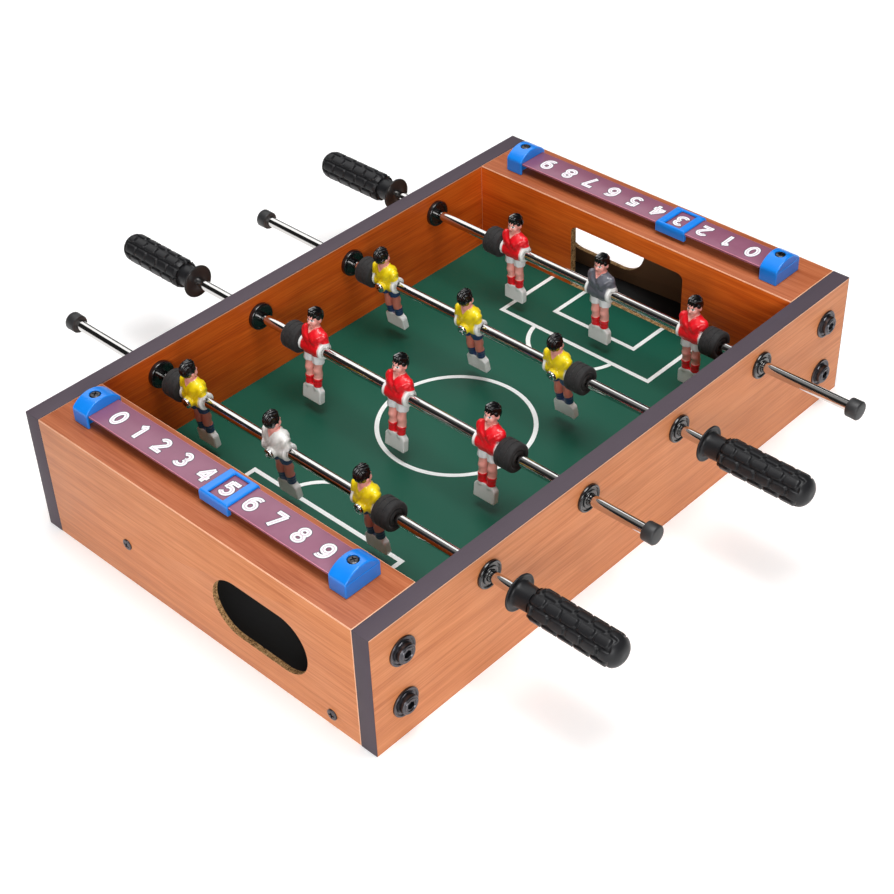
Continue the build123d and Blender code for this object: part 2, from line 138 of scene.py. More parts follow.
class Tree:
    """A node tree. `add` makes any node, sets it up, and fills or links its sockets."""

    def __init__(self, tree):
        self.tree = tree

    def add(self, kind, settings=None, inputs=None, output=0):
        node = self.tree.nodes.new(kind)
        for name, value in (settings or {}).items():
            if name == "stops":
                set_stops(node.color_ramp, value)
            else:
                setattr(node, name, value)
        for key, value in (inputs or {}).items():
            self.feed(node.inputs[key], value)
        return Term(self, node.outputs[output])

    def feed(self, socket, value):
        if isinstance(value, Term):
            self.tree.links.new(value.socket, socket)
        elif socket.type == "VECTOR":
            socket.default_value = value[:3]
        else:
            socket.default_value = value

    def maths(self, operation, *values):
        return self.add("ShaderNodeMath", {"operation": operation}, dict(enumerate(values)))

    def least(self, one, other):
        return self.maths("MINIMUM", one, other)

    def most(self, one, other):
        return self.maths("MAXIMUM", one, other)

    def within(self, value, low=0.0, high=1.0):
        return self.least(self.most(value, low), high)

    def sine(self, value):
        return self.maths("SINE", value)

    def above(self, value, edge, blur):
        """0 below an edge and 1 above it, with a ramp of width `blur` between."""
        return self.within((value - edge) * (1 / blur) + 0.5)


def set_stops(ramp, stops):
    """A colour ramp's (place, colour) stops."""
    while len(ramp.elements) < len(stops):
        ramp.elements.new(1.0)
    for element, (place, colour) in zip(ramp.elements, stops):
        element.position = place
        element.color = colour


def tint(red, green, blue):
    """A paint colour, 0 to 255 as a screen shows it, as Blender's linear RGBA."""
    linear = [(c / 255 / 12.92) if c <= 10 else ((c / 255 + 0.055) / 1.055) ** 2.4
              for c in (red, green, blue)]
    return (*linear, 1.0)


class Finish(Tree):
    """A material whose pattern is worked out in millimetres."""

    def __init__(self, name, **constants):
        self.material = bpy.data.materials.new(name)
        self.material.use_nodes = True
        super().__init__(self.material.node_tree)
        self.shader = self.tree.nodes["Principled BSDF"]
        for key, value in constants.items():
            self.coat(key, value)

    def coat(self, key, value):
        """Sets or links one of the shader's sockets, such as base_color or roughness."""
        name = key.replace("_", " ").title().replace("Ior", "IOR")
        self.feed(self.shader.inputs[name], value)

    def place(self):
        """Where a point is, in millimetres."""
        at = self.add("ShaderNodeTexCoord", output="Object")
        return self.scaled(at, (1000.0, 1000.0, 1000.0))

    def scaled(self, vector, factors):
        return self.add("ShaderNodeVectorMath", {"operation": "MULTIPLY"},
                        {0: vector, 1: factors})

    def own(self, attribute, output="Vector"):
        """A value that the mesh carries."""
        return self.add("ShaderNodeAttribute", {"attribute_name": attribute}, output=output)

    def apart(self, vector):
        one = self.add("ShaderNodeSeparateXYZ", None, {0: vector})
        outputs = one.socket.node.outputs
        return [Term(self, outputs[k]) for k in range(3)]

    def noise(self, vector, size, detail=2.0, stretch=(1.0, 1.0, 1.0), warp=0.0):
        """Soft noise, 0 to 1, with lumps of about `size` mm, drawn out along `stretch`."""
        drawn = self.scaled(vector, tuple(1 / (size * s) for s in stretch))
        return self.add("ShaderNodeTexNoise", None,
                        {"Vector": drawn, "Scale": 1.0, "Detail": detail, "Distortion": warp})

    def ramp(self, value, *stops):
        return self.add("ShaderNodeValToRGB", {"stops": stops}, {0: value})

    def mix(self, factor, one, other):
        """One colour at 0, the other at 1."""
        return self.add("ShaderNodeMix", {"data_type": "RGBA"},
                        {0: factor, 6: one, 7: other}, output=2)

    def shade(self, colour, amount, lumps):
        """A colour made darker and lighter by noise, by up to `amount` either way."""
        value = (lumps - 0.5) * (2 * amount) + 1.0
        return self.add("ShaderNodeVectorMath", {"operation": "SCALE"},
                        {0: colour, "Scale": value})

    def relief(self, height, depth, strength=1.0):
        """Bump from a height of 0 to 1 that stands for `depth` mm."""
        bump = self.add("ShaderNodeBump", None,
                        {"Strength": strength, "Distance": depth * MM, "Height": height})
        self.coat("normal", bump)


# ---------------------------------------------------------------------------- finishes
# Each wood print's dark streaks, body and light streaks.
OUTER_WOOD = (tint(186, 104, 56), tint(208, 128, 78), tint(224, 146, 96))
# The end tops: the same print painted darker and redder, as painted shade.
TOP_WOOD_SHADED = (tint(152, 74, 38), tint(176, 96, 58), tint(196, 116, 76))
# The faces inside the pit: the same print painted darker and redder, as painted shade.
INNER_WOOD_SHADED = (tint(176, 66, 11), tint(206, 88, 18), tint(228, 110, 32))
# Pale line at the laminate's folds and under the edge band: partly the foil's edge, partly a
# painted highlight.
FOLD_LINE_AND_HIGHLIGHT = tint(252, 206, 172)


def wood_figure(finish, place, along):
    """Streaks of the wood print, 0 to 1, drawn out along axis 0 (X) or 1 (Y)."""
    drawn = [1.0, 1.0, 1.0]
    drawn[along] = 34.0
    wander = finish.noise(place, 46.0, 2.0)
    figure = finish.noise(place, 5.0, 3.0, drawn, 0.5)
    streak = finish.noise(place, 1.2, 4.0, drawn, 0.2)
    pores = finish.noise(place, 0.45, 2.0, drawn)
    tone = figure * 0.34 + streak * 0.38 + pores * 0.14 + wander * 0.14
    finish.relief(streak * 0.6 + pores * 0.4, 0.05, 0.3)
    finish.coat("roughness", 0.40 + streak * 0.12)
    return tone


def print_ramp(finish, tone, wood):
    return finish.ramp(tone, (0.33, wood[0]), (0.47, wood[1]), (0.62, wood[2]))


def laminate(name, along, wood):
    """Wood-print laminate with its grain along axis 0 (X) or 1 (Y)."""
    finish = Finish(name, specular_ior_level=0.3)
    tone = wood_figure(finish, finish.place(), along)
    finish.coat("base_color", print_ramp(finish, tone, wood))
    return finish


def side_laminate():
    """The side boards' laminate: painted shade on the inside faces, which take a darker and
    redder copy of the print, and a pale line under the edge band that is partly glue line and
    partly painted highlight."""
    finish = Finish("side_laminate", specular_ior_level=0.3)
    place = finish.place()
    _, y, z = finish.apart(place)
    tone = wood_figure(finish, place, 0)
    # Inner faces take the darker, redder copy of the print: painted shade.
    outside = finish.above(abs(y - MID_Y), INNER_Y + 2.0, 0.5)
    colour = finish.mix(outside, print_ramp(finish, tone, INNER_WOOD_SHADED),
                        print_ramp(finish, tone, OUTER_WOOD))
    # A pale line along the top edge, partly glue line and partly painted highlight.
    line = finish.above(z, HEIGHT - 1.2, 0.2) * 0.8
    finish.coat("base_color", finish.mix(line, colour, FOLD_LINE_AND_HIGHLIGHT))
    return finish


def fold_line():
    """The pale line where the laminate is folded round a corner, partly the foil's pale edge and
    partly a painted highlight.
    """
    finish = Finish("fold_line", roughness=0.45)
    patchy = finish.noise(finish.place(), 3.0, 3.0)
    finish.coat("base_color", finish.mix(patchy, tint(236, 168, 126), FOLD_LINE_AND_HIGHLIGHT))
    return finish


def raw_fibre():
    """Bare fibreboard where a board is cut."""
    finish = Finish("raw_fibre", roughness=0.92)
    place = finish.place()
    fibres = finish.noise(place, 0.7, 4.0)
    lumps = finish.noise(place, 2.6, 3.0)
    tone = fibres * 0.6 + lumps * 0.4
    finish.coat("base_color", finish.ramp(tone, (0.38, tint(58, 38, 20)),
                                          (0.50, tint(176, 132, 82)),
                                          (0.64, tint(228, 188, 132))))
    finish.relief(tone, 0.8)
    return finish


def board_back():
    """The boards' smooth brown backs inside the end boxes, painted darker than bare board as
    painted shade inside the boxes.
    """
    finish = Finish("board_back", roughness=0.6)
    place = finish.place()
    mottle = finish.noise(place, 14.0, 3.0) * 0.7 + finish.noise(place, 1.0, 2.0) * 0.3
    finish.coat("base_color", finish.shade(tint(112, 82, 56), 0.14, mottle))
    return finish


def edge_band_plastic():
    """Dark plum-grey edge band with a fine pressed grain."""
    finish = Finish("edge_band_plastic", specular_ior_level=0.12)
    place = finish.place()
    grain = finish.noise(place, 0.9, 3.0, (16.0, 1.0, 16.0))
    cloud = finish.noise(place, 22.0, 2.0)
    finish.coat("base_color", finish.shade(tint(86, 76, 84), 0.12, grain * 0.6 + cloud * 0.4))
    finish.coat("roughness", 0.46 + grain * 0.14)
    finish.relief(grain, 0.04, 0.4)
    return finish


def field_paint():
    """Satin green paint on a smooth board."""
    finish = Finish("field_paint", specular_ior_level=0.3)
    place = finish.place()
    cloud = finish.noise(place, 60.0, 3.0)
    peel = finish.noise(place, 1.4, 2.0)
    finish.coat("base_color", finish.shade(tint(16, 84, 66), 0.08, cloud))
    finish.coat("roughness", 0.46 + cloud * 0.12)
    finish.relief(peel, 0.03, 0.3)
    return finish


def print_ink(name, colour):
    """A flat screen-printed ink."""
    finish = Finish(name, roughness=0.45)
    speckle = finish.noise(finish.place(), 2.2, 3.0)
    finish.coat("base_color", finish.shade(colour, 0.05, speckle))
    return finish


def moulded_plastic(name, colour, roughness, grain, shine=0.0, glint=0.5):
    """Moulded plastic with a faint texture and slightly uneven gloss."""
    finish = Finish(name, coat_weight=shine, coat_roughness=0.12, specular_ior_level=glint)
    place = finish.place()
    cloud = finish.noise(place, 9.0, 2.0)
    texture = finish.noise(place, 0.35, 2.0)
    finish.coat("base_color", finish.shade(colour, 0.06, cloud))
    finish.coat("roughness", cloud * 0.12 + (roughness - 0.06))
    finish.relief(texture, grain, 0.5)
    return finish


def metal(name, colour, roughness, scratch=0.015):
    """Plated or blackened steel with fine handling marks."""
    finish = Finish(name, metallic=1.0)
    place = finish.place()
    marks = finish.noise(place, 0.5, 3.0, (1.0, 9.0, 1.0))
    cloud = finish.noise(place, 14.0, 2.0)
    finish.coat("base_color", finish.shade(colour, 0.05, cloud))
    finish.coat("roughness", marks * 0.05 + cloud * 0.03 + roughness)
    finish.relief(marks, scratch, 0.2)
    return finish


def rubber():
    """Matt black rubber with a dusty bloom."""
    finish = Finish("bumper_rubber", sheen_weight=0.08, sheen_roughness=0.5)
    place = finish.place()
    dust = finish.noise(place, 2.0, 4.0)
    finish.coat("base_color", finish.ramp(dust, (0.35, tint(24, 23, 24)),
                                          (0.75, tint(42, 40, 40))))
    finish.coat("roughness", 0.66 + dust * 0.2)
    finish.relief(finish.noise(place, 0.5, 3.0), 0.10, 0.6)
    return finish


def scorer_strip():
    """Mauve plastic of the number strips."""
    finish = Finish("scorer_strip", coat_weight=0.2, coat_roughness=0.2)
    place = finish.place()
    cloud = finish.noise(place, 18.0, 3.0)
    finish.coat("base_color", finish.mix(cloud, tint(132, 76, 100), tint(158, 102, 126)))
    finish.coat("roughness", 0.32 + cloud * 0.12)
    finish.relief(finish.noise(place, 0.6, 2.0), 0.02, 0.4)
    return finish


def black_board():
    """Black-painted board of the ball ramps."""
    finish = Finish("black_board", roughness=0.7)
    brush = finish.noise(finish.place(), 1.2, 3.0, (1.0, 8.0, 1.0))
    finish.coat("base_color", finish.shade(tint(26, 26, 28), 0.25, brush))
    finish.relief(brush, 0.05, 0.5)
    return finish


def softwood():
    """Pale wood of the blocks and battens inside."""
    finish = Finish("softwood", roughness=0.75)
    place = finish.place()
    rings = finish.noise(place, 2.4, 3.0, (1.0, 14.0, 1.0), 0.4)
    finish.coat("base_color", finish.ramp(rings, (0.35, tint(176, 132, 84)),
                                          (0.65, tint(222, 188, 138))))
    finish.relief(rings, 0.12, 0.5)
    return finish


SKIN = tint(255, 176, 164)
WHITE_PLASTIC = tint(246, 246, 244)
HAIR = tint(14, 13, 15)
EYE_WHITE = tint(244, 244, 242)
PUPIL = tint(12, 10, 10)
LIPS = tint(200, 84, 80)


def figure_paint(name, shirt, shorts, legs, socks):
    """A painted man. The mesh carries each point's place on the man and its hair depth."""
    finish = Finish(name, coat_weight=0.5, coat_roughness=0.14)
    local = finish.own("local")
    x, y, z = finish.apart(local)
    side = abs(y)
    edge = 0.22                         # how soft the edge of each paint is
    wobble = (finish.noise(local, 2.6, 2.0) - 0.5) * 0.7
    height = z + wobble

    colour = finish.mix(finish.above(height, SOCK_LOW, edge), WHITE_PLASTIC, socks)
    colour = finish.mix(finish.above(height, SOCK_TOP, edge), colour, legs)
    colour = finish.mix(finish.above(height, SHORTS_LOW, edge), colour, shorts)
    colour = finish.mix(finish.above(height, HEM_Z, edge), colour, shirt)
    from_rod = (x * x + z * z) ** 0.5
    near_rod = 1 - finish.above(from_rod, HUB_R + 0.9, 0.6)
    hand = finish.above(side + wobble, HAND_Y, 1.3) * near_rod
    colour = finish.mix(hand, colour, WHITE_PLASTIC)
    open_neck = finish.above((height - COLLAR_Z) * COLLAR_SLOPE - side, 0.0, edge)
    bare = finish.most(open_neck, finish.above(z, SHOULDER_Z, edge))
    colour = finish.mix(bare, colour, SKIN)

    def spot(middle_y, middle_z, half_y, half_z):
        """An oval painted on each side of the face."""
        across = (side - middle_y) / half_y
        up = (z - middle_z) / half_z
        return (1 - finish.above(across * across + up * up, 1.0, 0.3)) * finish.above(x, 2.0, 0.4)

    colour = finish.mix(spot(1.95, EYE_Z + 0.1, 1.35, 0.9), colour, EYE_WHITE)
    colour = finish.mix(spot(1.8, EYE_Z, 0.62, 0.7), colour, PUPIL)
    colour = finish.mix(spot(0.0, EYE_Z - 3.9, 1.4, 0.34), colour, LIPS)
    hair = 1 - finish.above(finish.own("hair", "Fac"), 0.0, 0.12)
    colour = finish.mix(hair, colour, HAIR)
    finish.coat("base_color", finish.shade(colour, 0.05, finish.noise(local, 3.5, 3.0)))
    finish.coat("roughness", 0.34 + finish.noise(local, 5.0, 2.0) * 0.12 - hair * 0.2)
    finish.relief(finish.noise(local, 0.8, 3.0), 0.05, 0.4)
    return finish


# ------------------------------------------------------------------------------ shapes


class Shape:
    """Points in millimetres, faces, and the number of each face's finish."""

    def __init__(self, points, faces, finishes=0):
        self.points = np.asarray(points, float).reshape(-1, 3)
        self.faces = [tuple(int(k) for k in face) for face in faces]
        self.finishes = [finishes] * len(self.faces) if isinstance(finishes, int) else finishes

    def moved(self, matrix):
        """The shape carried by a 4x4 matrix that doesn't turn it inside out."""
        m = np.array(matrix)
        return Shape(self.points @ m[:3, :3].T + m[:3, 3], self.faces, self.finishes)

    def __add__(self, other):
        count = len(self.points)
        faces = self.faces + [tuple(k + count for k in face) for face in other.faces]
        points = np.vstack([self.points, other.points])
        return Shape(points, faces, self.finishes + other.finishes)


def joined(shapes):
    total = shapes[0]
    for shape in shapes[1:]:
        total = total + shape
    return total


def outward(shape):
    """A closed shape with its faces turned outwards."""
    fans = [(face[0], face[k], face[k + 1]) for face in shape.faces
            for k in range(1, len(face) - 1)]
    a, b, c = shape.points[np.array(fans).T]
    if (a * np.cross(b, c)).sum() >= 0:
        return shape
    return Shape(shape.points, [face[::-1] for face in shape.faces], shape.finishes)


def shift(x=0.0, y=0.0, z=0.0):
    return Matrix.Translation((x, y, z))


def turn(angle, axis):
    return Matrix.Rotation(math.radians(angle), 4, axis)


def rounded(outline, radii, steps):
    """An outline of (across, up) points with its corners rounded; radius 0 stays sharp."""
    radii = [radii] * len(outline) if isinstance(radii, (int, float)) else radii
    result = []
    for k, corner in enumerate(outline):
        corner = np.array(corner, float)
        before = np.array(outline[k - 1], float) - corner
        after = np.array(outline[(k + 1) % len(outline)], float) - corner
        if radii[k] == 0:
            result.append(tuple(corner))
            continue
        before /= np.linalg.norm(before)
        after /= np.linalg.norm(after)
        half = math.acos(np.clip(before @ after, -1, 1)) / 2
        inward = (before + after) / np.linalg.norm(before + after)
        centre = corner + inward * radii[k] / math.sin(half)
        reach = radii[k] / math.tan(half)
        start = corner + before * reach - centre
        end = corner + after * reach - centre
        sweep = math.atan2(start[0] * end[1] - start[1] * end[0], start @ end)
        for j in range(steps + 1):
            a = sweep * j / steps
            turned = (start[0] * math.cos(a) - start[1] * math.sin(a),
                      start[0] * math.sin(a) + start[1] * math.cos(a))
            result.append(tuple(centre + turned))
    return result


def lathe(outline, sides):
    """A closed (along, radius) outline turned about the Z axis; radius 0 makes a pole."""
    outline = np.array(outline, float)
    angles = 2 * math.pi * np.arange(sides) / sides
    points = []
    rings = []
    for along, radius in outline:
        if radius < 1e-6:
            rings.append([len(points)] * sides)
            points.append((0, 0, along))
        else:
            rings.append([len(points) + j for j in range(sides)])
            points += [(radius * math.cos(a), radius * math.sin(a), along) for a in angles]
    faces = []
    for k, ring in enumerate(rings):
        above = rings[(k + 1) % len(rings)]
        for j in range(sides):
            i = (j + 1) % sides
            face = list(dict.fromkeys((ring[j], ring[i], above[i], above[j])))
            if len(face) > 2:
                faces.append(face)
    return outward(Shape(points, faces))


def prism(outline, low, high, axis):
    """An outline carried along an axis. Across and up are the other two axes, in order."""
    flat = np.array(outline, float)
    others = [k for k in range(3) if k != axis]
    points = np.zeros((2 * len(flat), 3))
    for half, end in enumerate((low, high)):
        rows = slice(half * len(flat), (half + 1) * len(flat))
        points[rows, others[0]] = flat[:, 0]
        points[rows, others[1]] = flat[:, 1]
        points[rows, axis] = end
    count = len(flat)
    faces = [tuple(range(count)), tuple(range(2 * count - 1, count - 1, -1))]
    faces += [(k, k + count, (k + 1) % count + count, (k + 1) % count) for k in range(count)]
    return outward(Shape(points, faces))


def block(low, high):
    """A box between two corners."""
    outline = [(low[1], low[2]), (high[1], low[2]), (high[1], high[2]), (low[1], high[2])]
    return prism(outline, low[0], high[0], 0)


SHARP = 38.0                            # an edge with a bigger turn than this isn't smoothed


def to_mesh(name, shape, paints=(), sharp=SHARP):
    """A mesh object at the origin with its place in its mesh, smooth but for sharp edges."""
    mesh = bpy.data.meshes.new(name)
    mesh.from_pydata([tuple(p) for p in shape.points * MM], [], shape.faces)
    for paint in paints:
        mesh.materials.append(paint.material)
    if len(paints) > 1:
        mesh.polygons.foreach_set("material_index", shape.finishes)
    mesh.shade_smooth()
    mesh.set_sharp_from_angle(angle=math.radians(sharp))
    mesh.update()
    made = bpy.data.objects.new(name, mesh)
    bpy.context.scene.collection.objects.link(made)
    return made


def settled(made):
    """The object with its modifiers' result as its plain mesh."""
    ready = made.evaluated_get(bpy.context.evaluated_depsgraph_get())
    mesh = bpy.data.meshes.new_from_object(ready)
    made.modifiers.clear()
    made.data = mesh
    mesh.name = made.name
    return made


def as_shape(made):
    """The Shape of a mesh object, which is then removed."""
    mesh = made.data
    points = np.array([v.co for v in mesh.vertices]) / MM
    faces = [tuple(p.vertices) for p in mesh.polygons]
    finishes = [p.material_index for p in mesh.polygons]
    bpy.data.objects.remove(made)
    return Shape(points, faces, finishes)


def softened(shape, radius, finish=-1):
    """The shape with its sharp edges rounded; the new faces can take a finish of their own."""
    made = to_mesh("softening", shape)
    edges = made.modifiers.new("edges", "BEVEL")
    edges.width = radius * MM
    edges.segments = 2
    edges.limit_method = "ANGLE"
    edges.angle_limit = math.radians(40)
    edges.use_clamp_overlap = True
    if finish >= 0:
        for k in range(finish + 1):
            made.data.materials.append(None)
        edges.material = finish
    return as_shape(settled(made))


def cut(shape, *cutters, finish=0):
    """The shape less the cutters; the walls of the cuts take the finish given."""
    made = to_mesh("cutting", shape)
    for k in range(max(max(shape.finishes), finish) + 1):
        made.data.materials.append(bpy.data.materials.new(f"cut_{k}"))
    made.data.polygons.foreach_set("material_index", shape.finishes)
    knives = []
    for cutter in cutters:
        knife = to_mesh("knife", cutter)
        knife.data.materials.append(made.data.materials[finish])
        knives.append(knife)
        cutting = made.modifiers.new("cut", "BOOLEAN")
        cutting.operation = "DIFFERENCE"
        cutting.solver = "EXACT"
        cutting.material_mode = "TRANSFER"
        cutting.object = knife
    result = as_shape(settled(made))
    for knife in knives:
        bpy.data.objects.remove(knife)
    return result


def skin(depth, low, high, step):
    """Closed surface where depth(points) is zero, negative being inside the piece. One point
    is put in each small cube that the surface crosses, then pulled onto the surface."""
    low = np.array(low, float)
    counts = np.ceil((np.array(high, float) - low) / step).astype(int) + 1
    axes = [low[k] + step * np.arange(counts[k]) for k in range(3)]
    grid = np.stack(np.meshgrid(*axes, indexing="ij"), -1)
    value = depth(grid)
    inside = value < 0
    cells = tuple(counts - 1)
    total = np.zeros(cells + (3,))
    crossings = np.zeros(cells)
    steps = np.eye(3, dtype=int)

    def part(array, start):
        """The array from a corner of each cube on."""
        return array[tuple(slice(start[k], start[k] + cells[k]) for k in range(3))]

    for axis in range(3):
        others = [k for k in range(3) if k != axis]
        for i in (0, 1):
            for j in (0, 1):
                start = steps[others[0]] * i + steps[others[1]] * j
                near = part(value, start)
                far = part(value, start + steps[axis])
                crossed = (near < 0) != (far < 0)
                share = np.where(crossed, near / np.where(crossed, near - far, 1), 0)
                total += np.where(crossed[..., None],
                                  start + share[..., None] * steps[axis], 0)
                crossings += crossed
    active = crossings > 0
    number = np.full(cells, -1)
    number[active] = np.arange(active.sum())
    base = np.argwhere(active)
    points = low + step * (base + total[active] / crossings[active][:, None])
    faces = []
    for axis in range(3):
        b, c = [(1, 2), (2, 0), (0, 1)][axis]
        first = inside[tuple(slice(0, cells[k] if k == axis else counts[k]) for k in range(3))]
        second = inside[tuple(slice(1 if k == axis else 0, counts[k]) for k in range(3))]
        for way in (False, True):
            places = np.argwhere((first != second) & (first == way))
            places = places[(places[:, b] > 0) & (places[:, c] > 0)]
            places = places[(places[:, b] < cells[b]) & (places[:, c] < cells[c])]
            ring = [places, places - steps[b], places - steps[b] - steps[c], places - steps[c]]
            quad = np.stack([number[tuple(p.T)] for p in ring], 1)
            faces.append(quad if way else quad[:, ::-1])
    faces = np.vstack(faces)
    for _ in range(3):
        here = depth(points)
        slope = np.stack([(depth(points + 0.02 * s) - depth(points - 0.02 * s)) / 0.04
                          for s in steps], -1)
        pull = here[:, None] * slope / np.maximum((slope ** 2).sum(-1, keepdims=True), 0.05)
        reach = np.linalg.norm(pull, axis=1, keepdims=True)
        points -= pull * np.minimum(1, 0.4 * step / np.maximum(reach, 1e-9))
    return Shape(points, faces)


# Depths below are distances to a surface, negative inside it.


def ball(p, centre, radii):
    """Depth of an ellipsoid."""
    q = (p - np.array(centre, float)) / np.array(radii, float)
    outer = np.linalg.norm(q, axis=-1)
    inner = np.linalg.norm(q / np.array(radii, float), axis=-1)
    return outer * (outer - 1) / np.maximum(inner, 1e-6)


def limb(p, start, end, start_r, end_r):
    """Depth of a round bar between two points, tapered."""
    start = np.array(start, float)
    axis = np.array(end, float) - start
    share = np.clip(((p - start) @ axis) / (axis @ axis), 0, 1)
    off = np.linalg.norm(p - start - share[..., None] * axis, axis=-1)
    return off - start_r - (end_r - start_r) * share


def melt(one, other, reach):
    """Two pieces run together with a fillet."""
    share = np.clip(0.5 + 0.5 * (other - one) / reach, 0, 1)
    return other + (one - other) * share - reach * share * (1 - share)


def meet(radius, *walls):
    """The inside of all the walls, with its outer edges rounded."""
    stack = np.stack(walls, -1) + radius
    outside = np.linalg.norm(np.maximum(stack, 0), axis=-1)
    return outside + np.minimum(stack.max(-1), 0) - radius


def without(radius, shape, hole):
    """A shape less a hole, the hole's rim rounded."""
    return meet(radius, shape, -hole)


def fair(stations, values, reach):
    """A smooth curve along straight runs between stations."""
    fine = np.linspace(stations[0] - 4 * reach, stations[-1] + 4 * reach, 500)
    spacing = fine[1] - fine[0]
    offsets = np.arange(-int(3 * reach / spacing), int(3 * reach / spacing) + 1)
    weights = np.exp(-((offsets * spacing / reach) ** 2) * 2)
    straight = np.interp(fine, stations, values)
    padded = np.pad(straight, len(offsets) // 2, mode="edge")
    smooth = np.convolve(padded, weights / weights.sum(), mode="valid")
    return lambda at: np.interp(at, fine, smooth)


# ------------------------------------------------------------------- putting pieces out


def piece(name, shape, paints, body, slot, *nodes, sharp=SHARP):
    """A finished piece that rides on a body and stands for CAD nodes."""
    paints = paints if isinstance(paints, (list, tuple)) else [paints]
    made = to_mesh(name, shape, paints, sharp)
    return settle_in(made, body, slot, *nodes)


def settle_in(made, body, slot, *nodes):
    """The piece rides on its body, and takes the place of the CAD nodes."""
    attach(made, body)
    if nodes:
        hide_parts(*nodes)
    return made


def node_group(name, sockets):
    """An empty Geometry Nodes tree with named inputs, and one geometry output."""
    group = bpy.data.node_groups.new(name, "GeometryNodeTree")
    group.interface.new_socket("Geometry", in_out="OUTPUT", socket_type="NodeSocketGeometry")
    for label, kind in sockets.items():
        group.interface.new_socket(label, in_out="INPUT", socket_type=f"NodeSocket{kind}")
    return group


def set_input(modifier, label, value):
    """Gives one of a Geometry Nodes modifier's named inputs its value."""
    for item in modifier.node_group.interface.items_tree:
        if item.item_type == "SOCKET" and item.in_out == "INPUT" and item.name == label:
            modifier[item.identifier] = value
            return
    raise KeyError(label)


def group_input(tree, label):
    node = tree.add("NodeGroupInput").socket.node
    return Term(tree, node.outputs[label])


def setting_out():
    """The tree that puts a copy of a fastener at each point, turned as the point says, and
    spun about its own axis by chance."""
    group = node_group("setting_out", {"Points": "Geometry", "Fastener": "Object",
                                       "Spin": "Float", "Finish": "Material"})
    tree = Tree(group)
    fastener = tree.add("GeometryNodeObjectInfo", {"transform_space": "ORIGINAL"},
                        {"Object": group_input(tree, "Fastener")}, output="Geometry")
    aim = tree.add("GeometryNodeInputNamedAttribute", {"data_type": "FLOAT_VECTOR"},
                   {"Name": "aim"}, output="Attribute")
    copies = tree.add("GeometryNodeInstanceOnPoints", None,
                      {"Points": group_input(tree, "Points"), "Instance": fastener,
                       "Rotation": tree.add("FunctionNodeEulerToRotation", None, {0: aim})})
    chance = tree.add("FunctionNodeRandomValue", {"data_type": "FLOAT"}, {"Seed": 7}, output=1)
    spin = tree.add("ShaderNodeCombineXYZ", None, {2: chance * group_input(tree, "Spin")})
    spun = tree.add("GeometryNodeRotateInstances", None,
                    {"Instances": copies,
                     "Rotation": tree.add("FunctionNodeEulerToRotation", None, {0: spin})})
    whole = tree.add("GeometryNodeRealizeInstances", None, {0: spun})
    painted = tree.add("GeometryNodeSetMaterial", None,
                       {"Geometry": whole, "Material": group_input(tree, "Finish")})
    output = group.nodes.new("NodeGroupOutput")
    group.links.new(painted.socket, output.inputs[0])
    return group


SETTING_OUT = setting_out()


def set_out(name, fastener, places, paint, body, slot, *nodes, spin=0.0):
    """Copies of a fastener at (point, aim) places: its own +Z looks along the aim."""
    template = to_mesh(f"{name}_template", fastener)
    points = bpy.data.meshes.new(name)
    points.from_pydata([tuple(np.array(at) * MM) for at, aim in places], [], [])
    aims = points.attributes.new("aim", "FLOAT_VECTOR", "POINT")
    for k, (at, aim) in enumerate(places):
        aims.data[k].vector = Vector(aim).to_track_quat("Z", "Y").to_euler()
    made = bpy.data.objects.new(name, points)
    bpy.context.scene.collection.objects.link(made)
    modifier = made.modifiers.new("setting_out", "NODES")
    modifier.node_group = SETTING_OUT
    set_input(modifier, "Fastener", template)
    set_input(modifier, "Spin", spin)
    set_input(modifier, "Finish", paint.material)
    settled(made)
    bpy.data.objects.remove(template)
    made.data.shade_smooth()
    made.data.set_sharp_from_angle(angle=math.radians(SHARP))
    return settle_in(made, body, slot, *nodes)


# ----------------------------------------------------------------------------- cabinet
CABINET = shift(y=MID_Y)
BOX_OUT = END_X - END_PANEL_T           # inside face of an end panel
BOX_IN = GOAL_X + PANEL_T               # inside face of a goal wall
FOLD_R = 0.7
# FOLD faces take the pale fold line, partly a painted highlight; BACK faces take the board back,
# darkened as painted shade.
LAMINATE, FOLD, RAW, BACK = 0, 1, 2, 3  # finishes of a board
PANEL_SCREWS = ((70.5, 36.5), (-129.0, 11.0))        # (y, z) on the left end panel
BAND_T = 0.6


def backed(shape, outer):
    """The board with its plain back wherever a laminated face isn't an outer one."""
    finishes = []
    for face, finish in zip(shape.faces, shape.finishes):
        middle = shape.points[list(face)].mean(axis=0)
        finishes.append(BACK if finish == LAMINATE and not outer(middle) else finish)
    return Shape(shape.points, shape.faces, finishes)


def end_panel():
    """Left end panel with its oval ball-return hole."""
    outline = [(-END_X, 0), (-BOX_OUT, 0), (-BOX_OUT, HEIGHT - PANEL_T), (-END_X, HEIGHT)]
    board = softened(prism(outline, -INNER_Y, INNER_Y, 1), FOLD_R, finish=FOLD)
    reach = HOLE_HALF_L
    oval = rounded([(HOLE_Y - reach, HOLE_Z - HOLE_R), (HOLE_Y + reach, HOLE_Z - HOLE_R),
                    (HOLE_Y + reach, HOLE_Z + HOLE_R), (HOLE_Y - reach, HOLE_Z + HOLE_R)],
                   HOLE_R - 0.01, 20)
    holes = [prism(oval, -END_X - 1, -BOX_OUT + 1, 0)]
    for y, z in PANEL_SCREWS:
        sunk = lathe([(-9, 0), (-9, 1.3), (-2.7, 1.3), (-0.3, 3.98), (1, 4.1), (1, 0)], 32)
        holes.append(sunk.moved(shift(-END_X, y, z) @ turn(-90, "Y")))
    board = cut(board, *holes, finish=RAW)
    return backed(board, lambda at: at[0] < -END_X + 0.1)


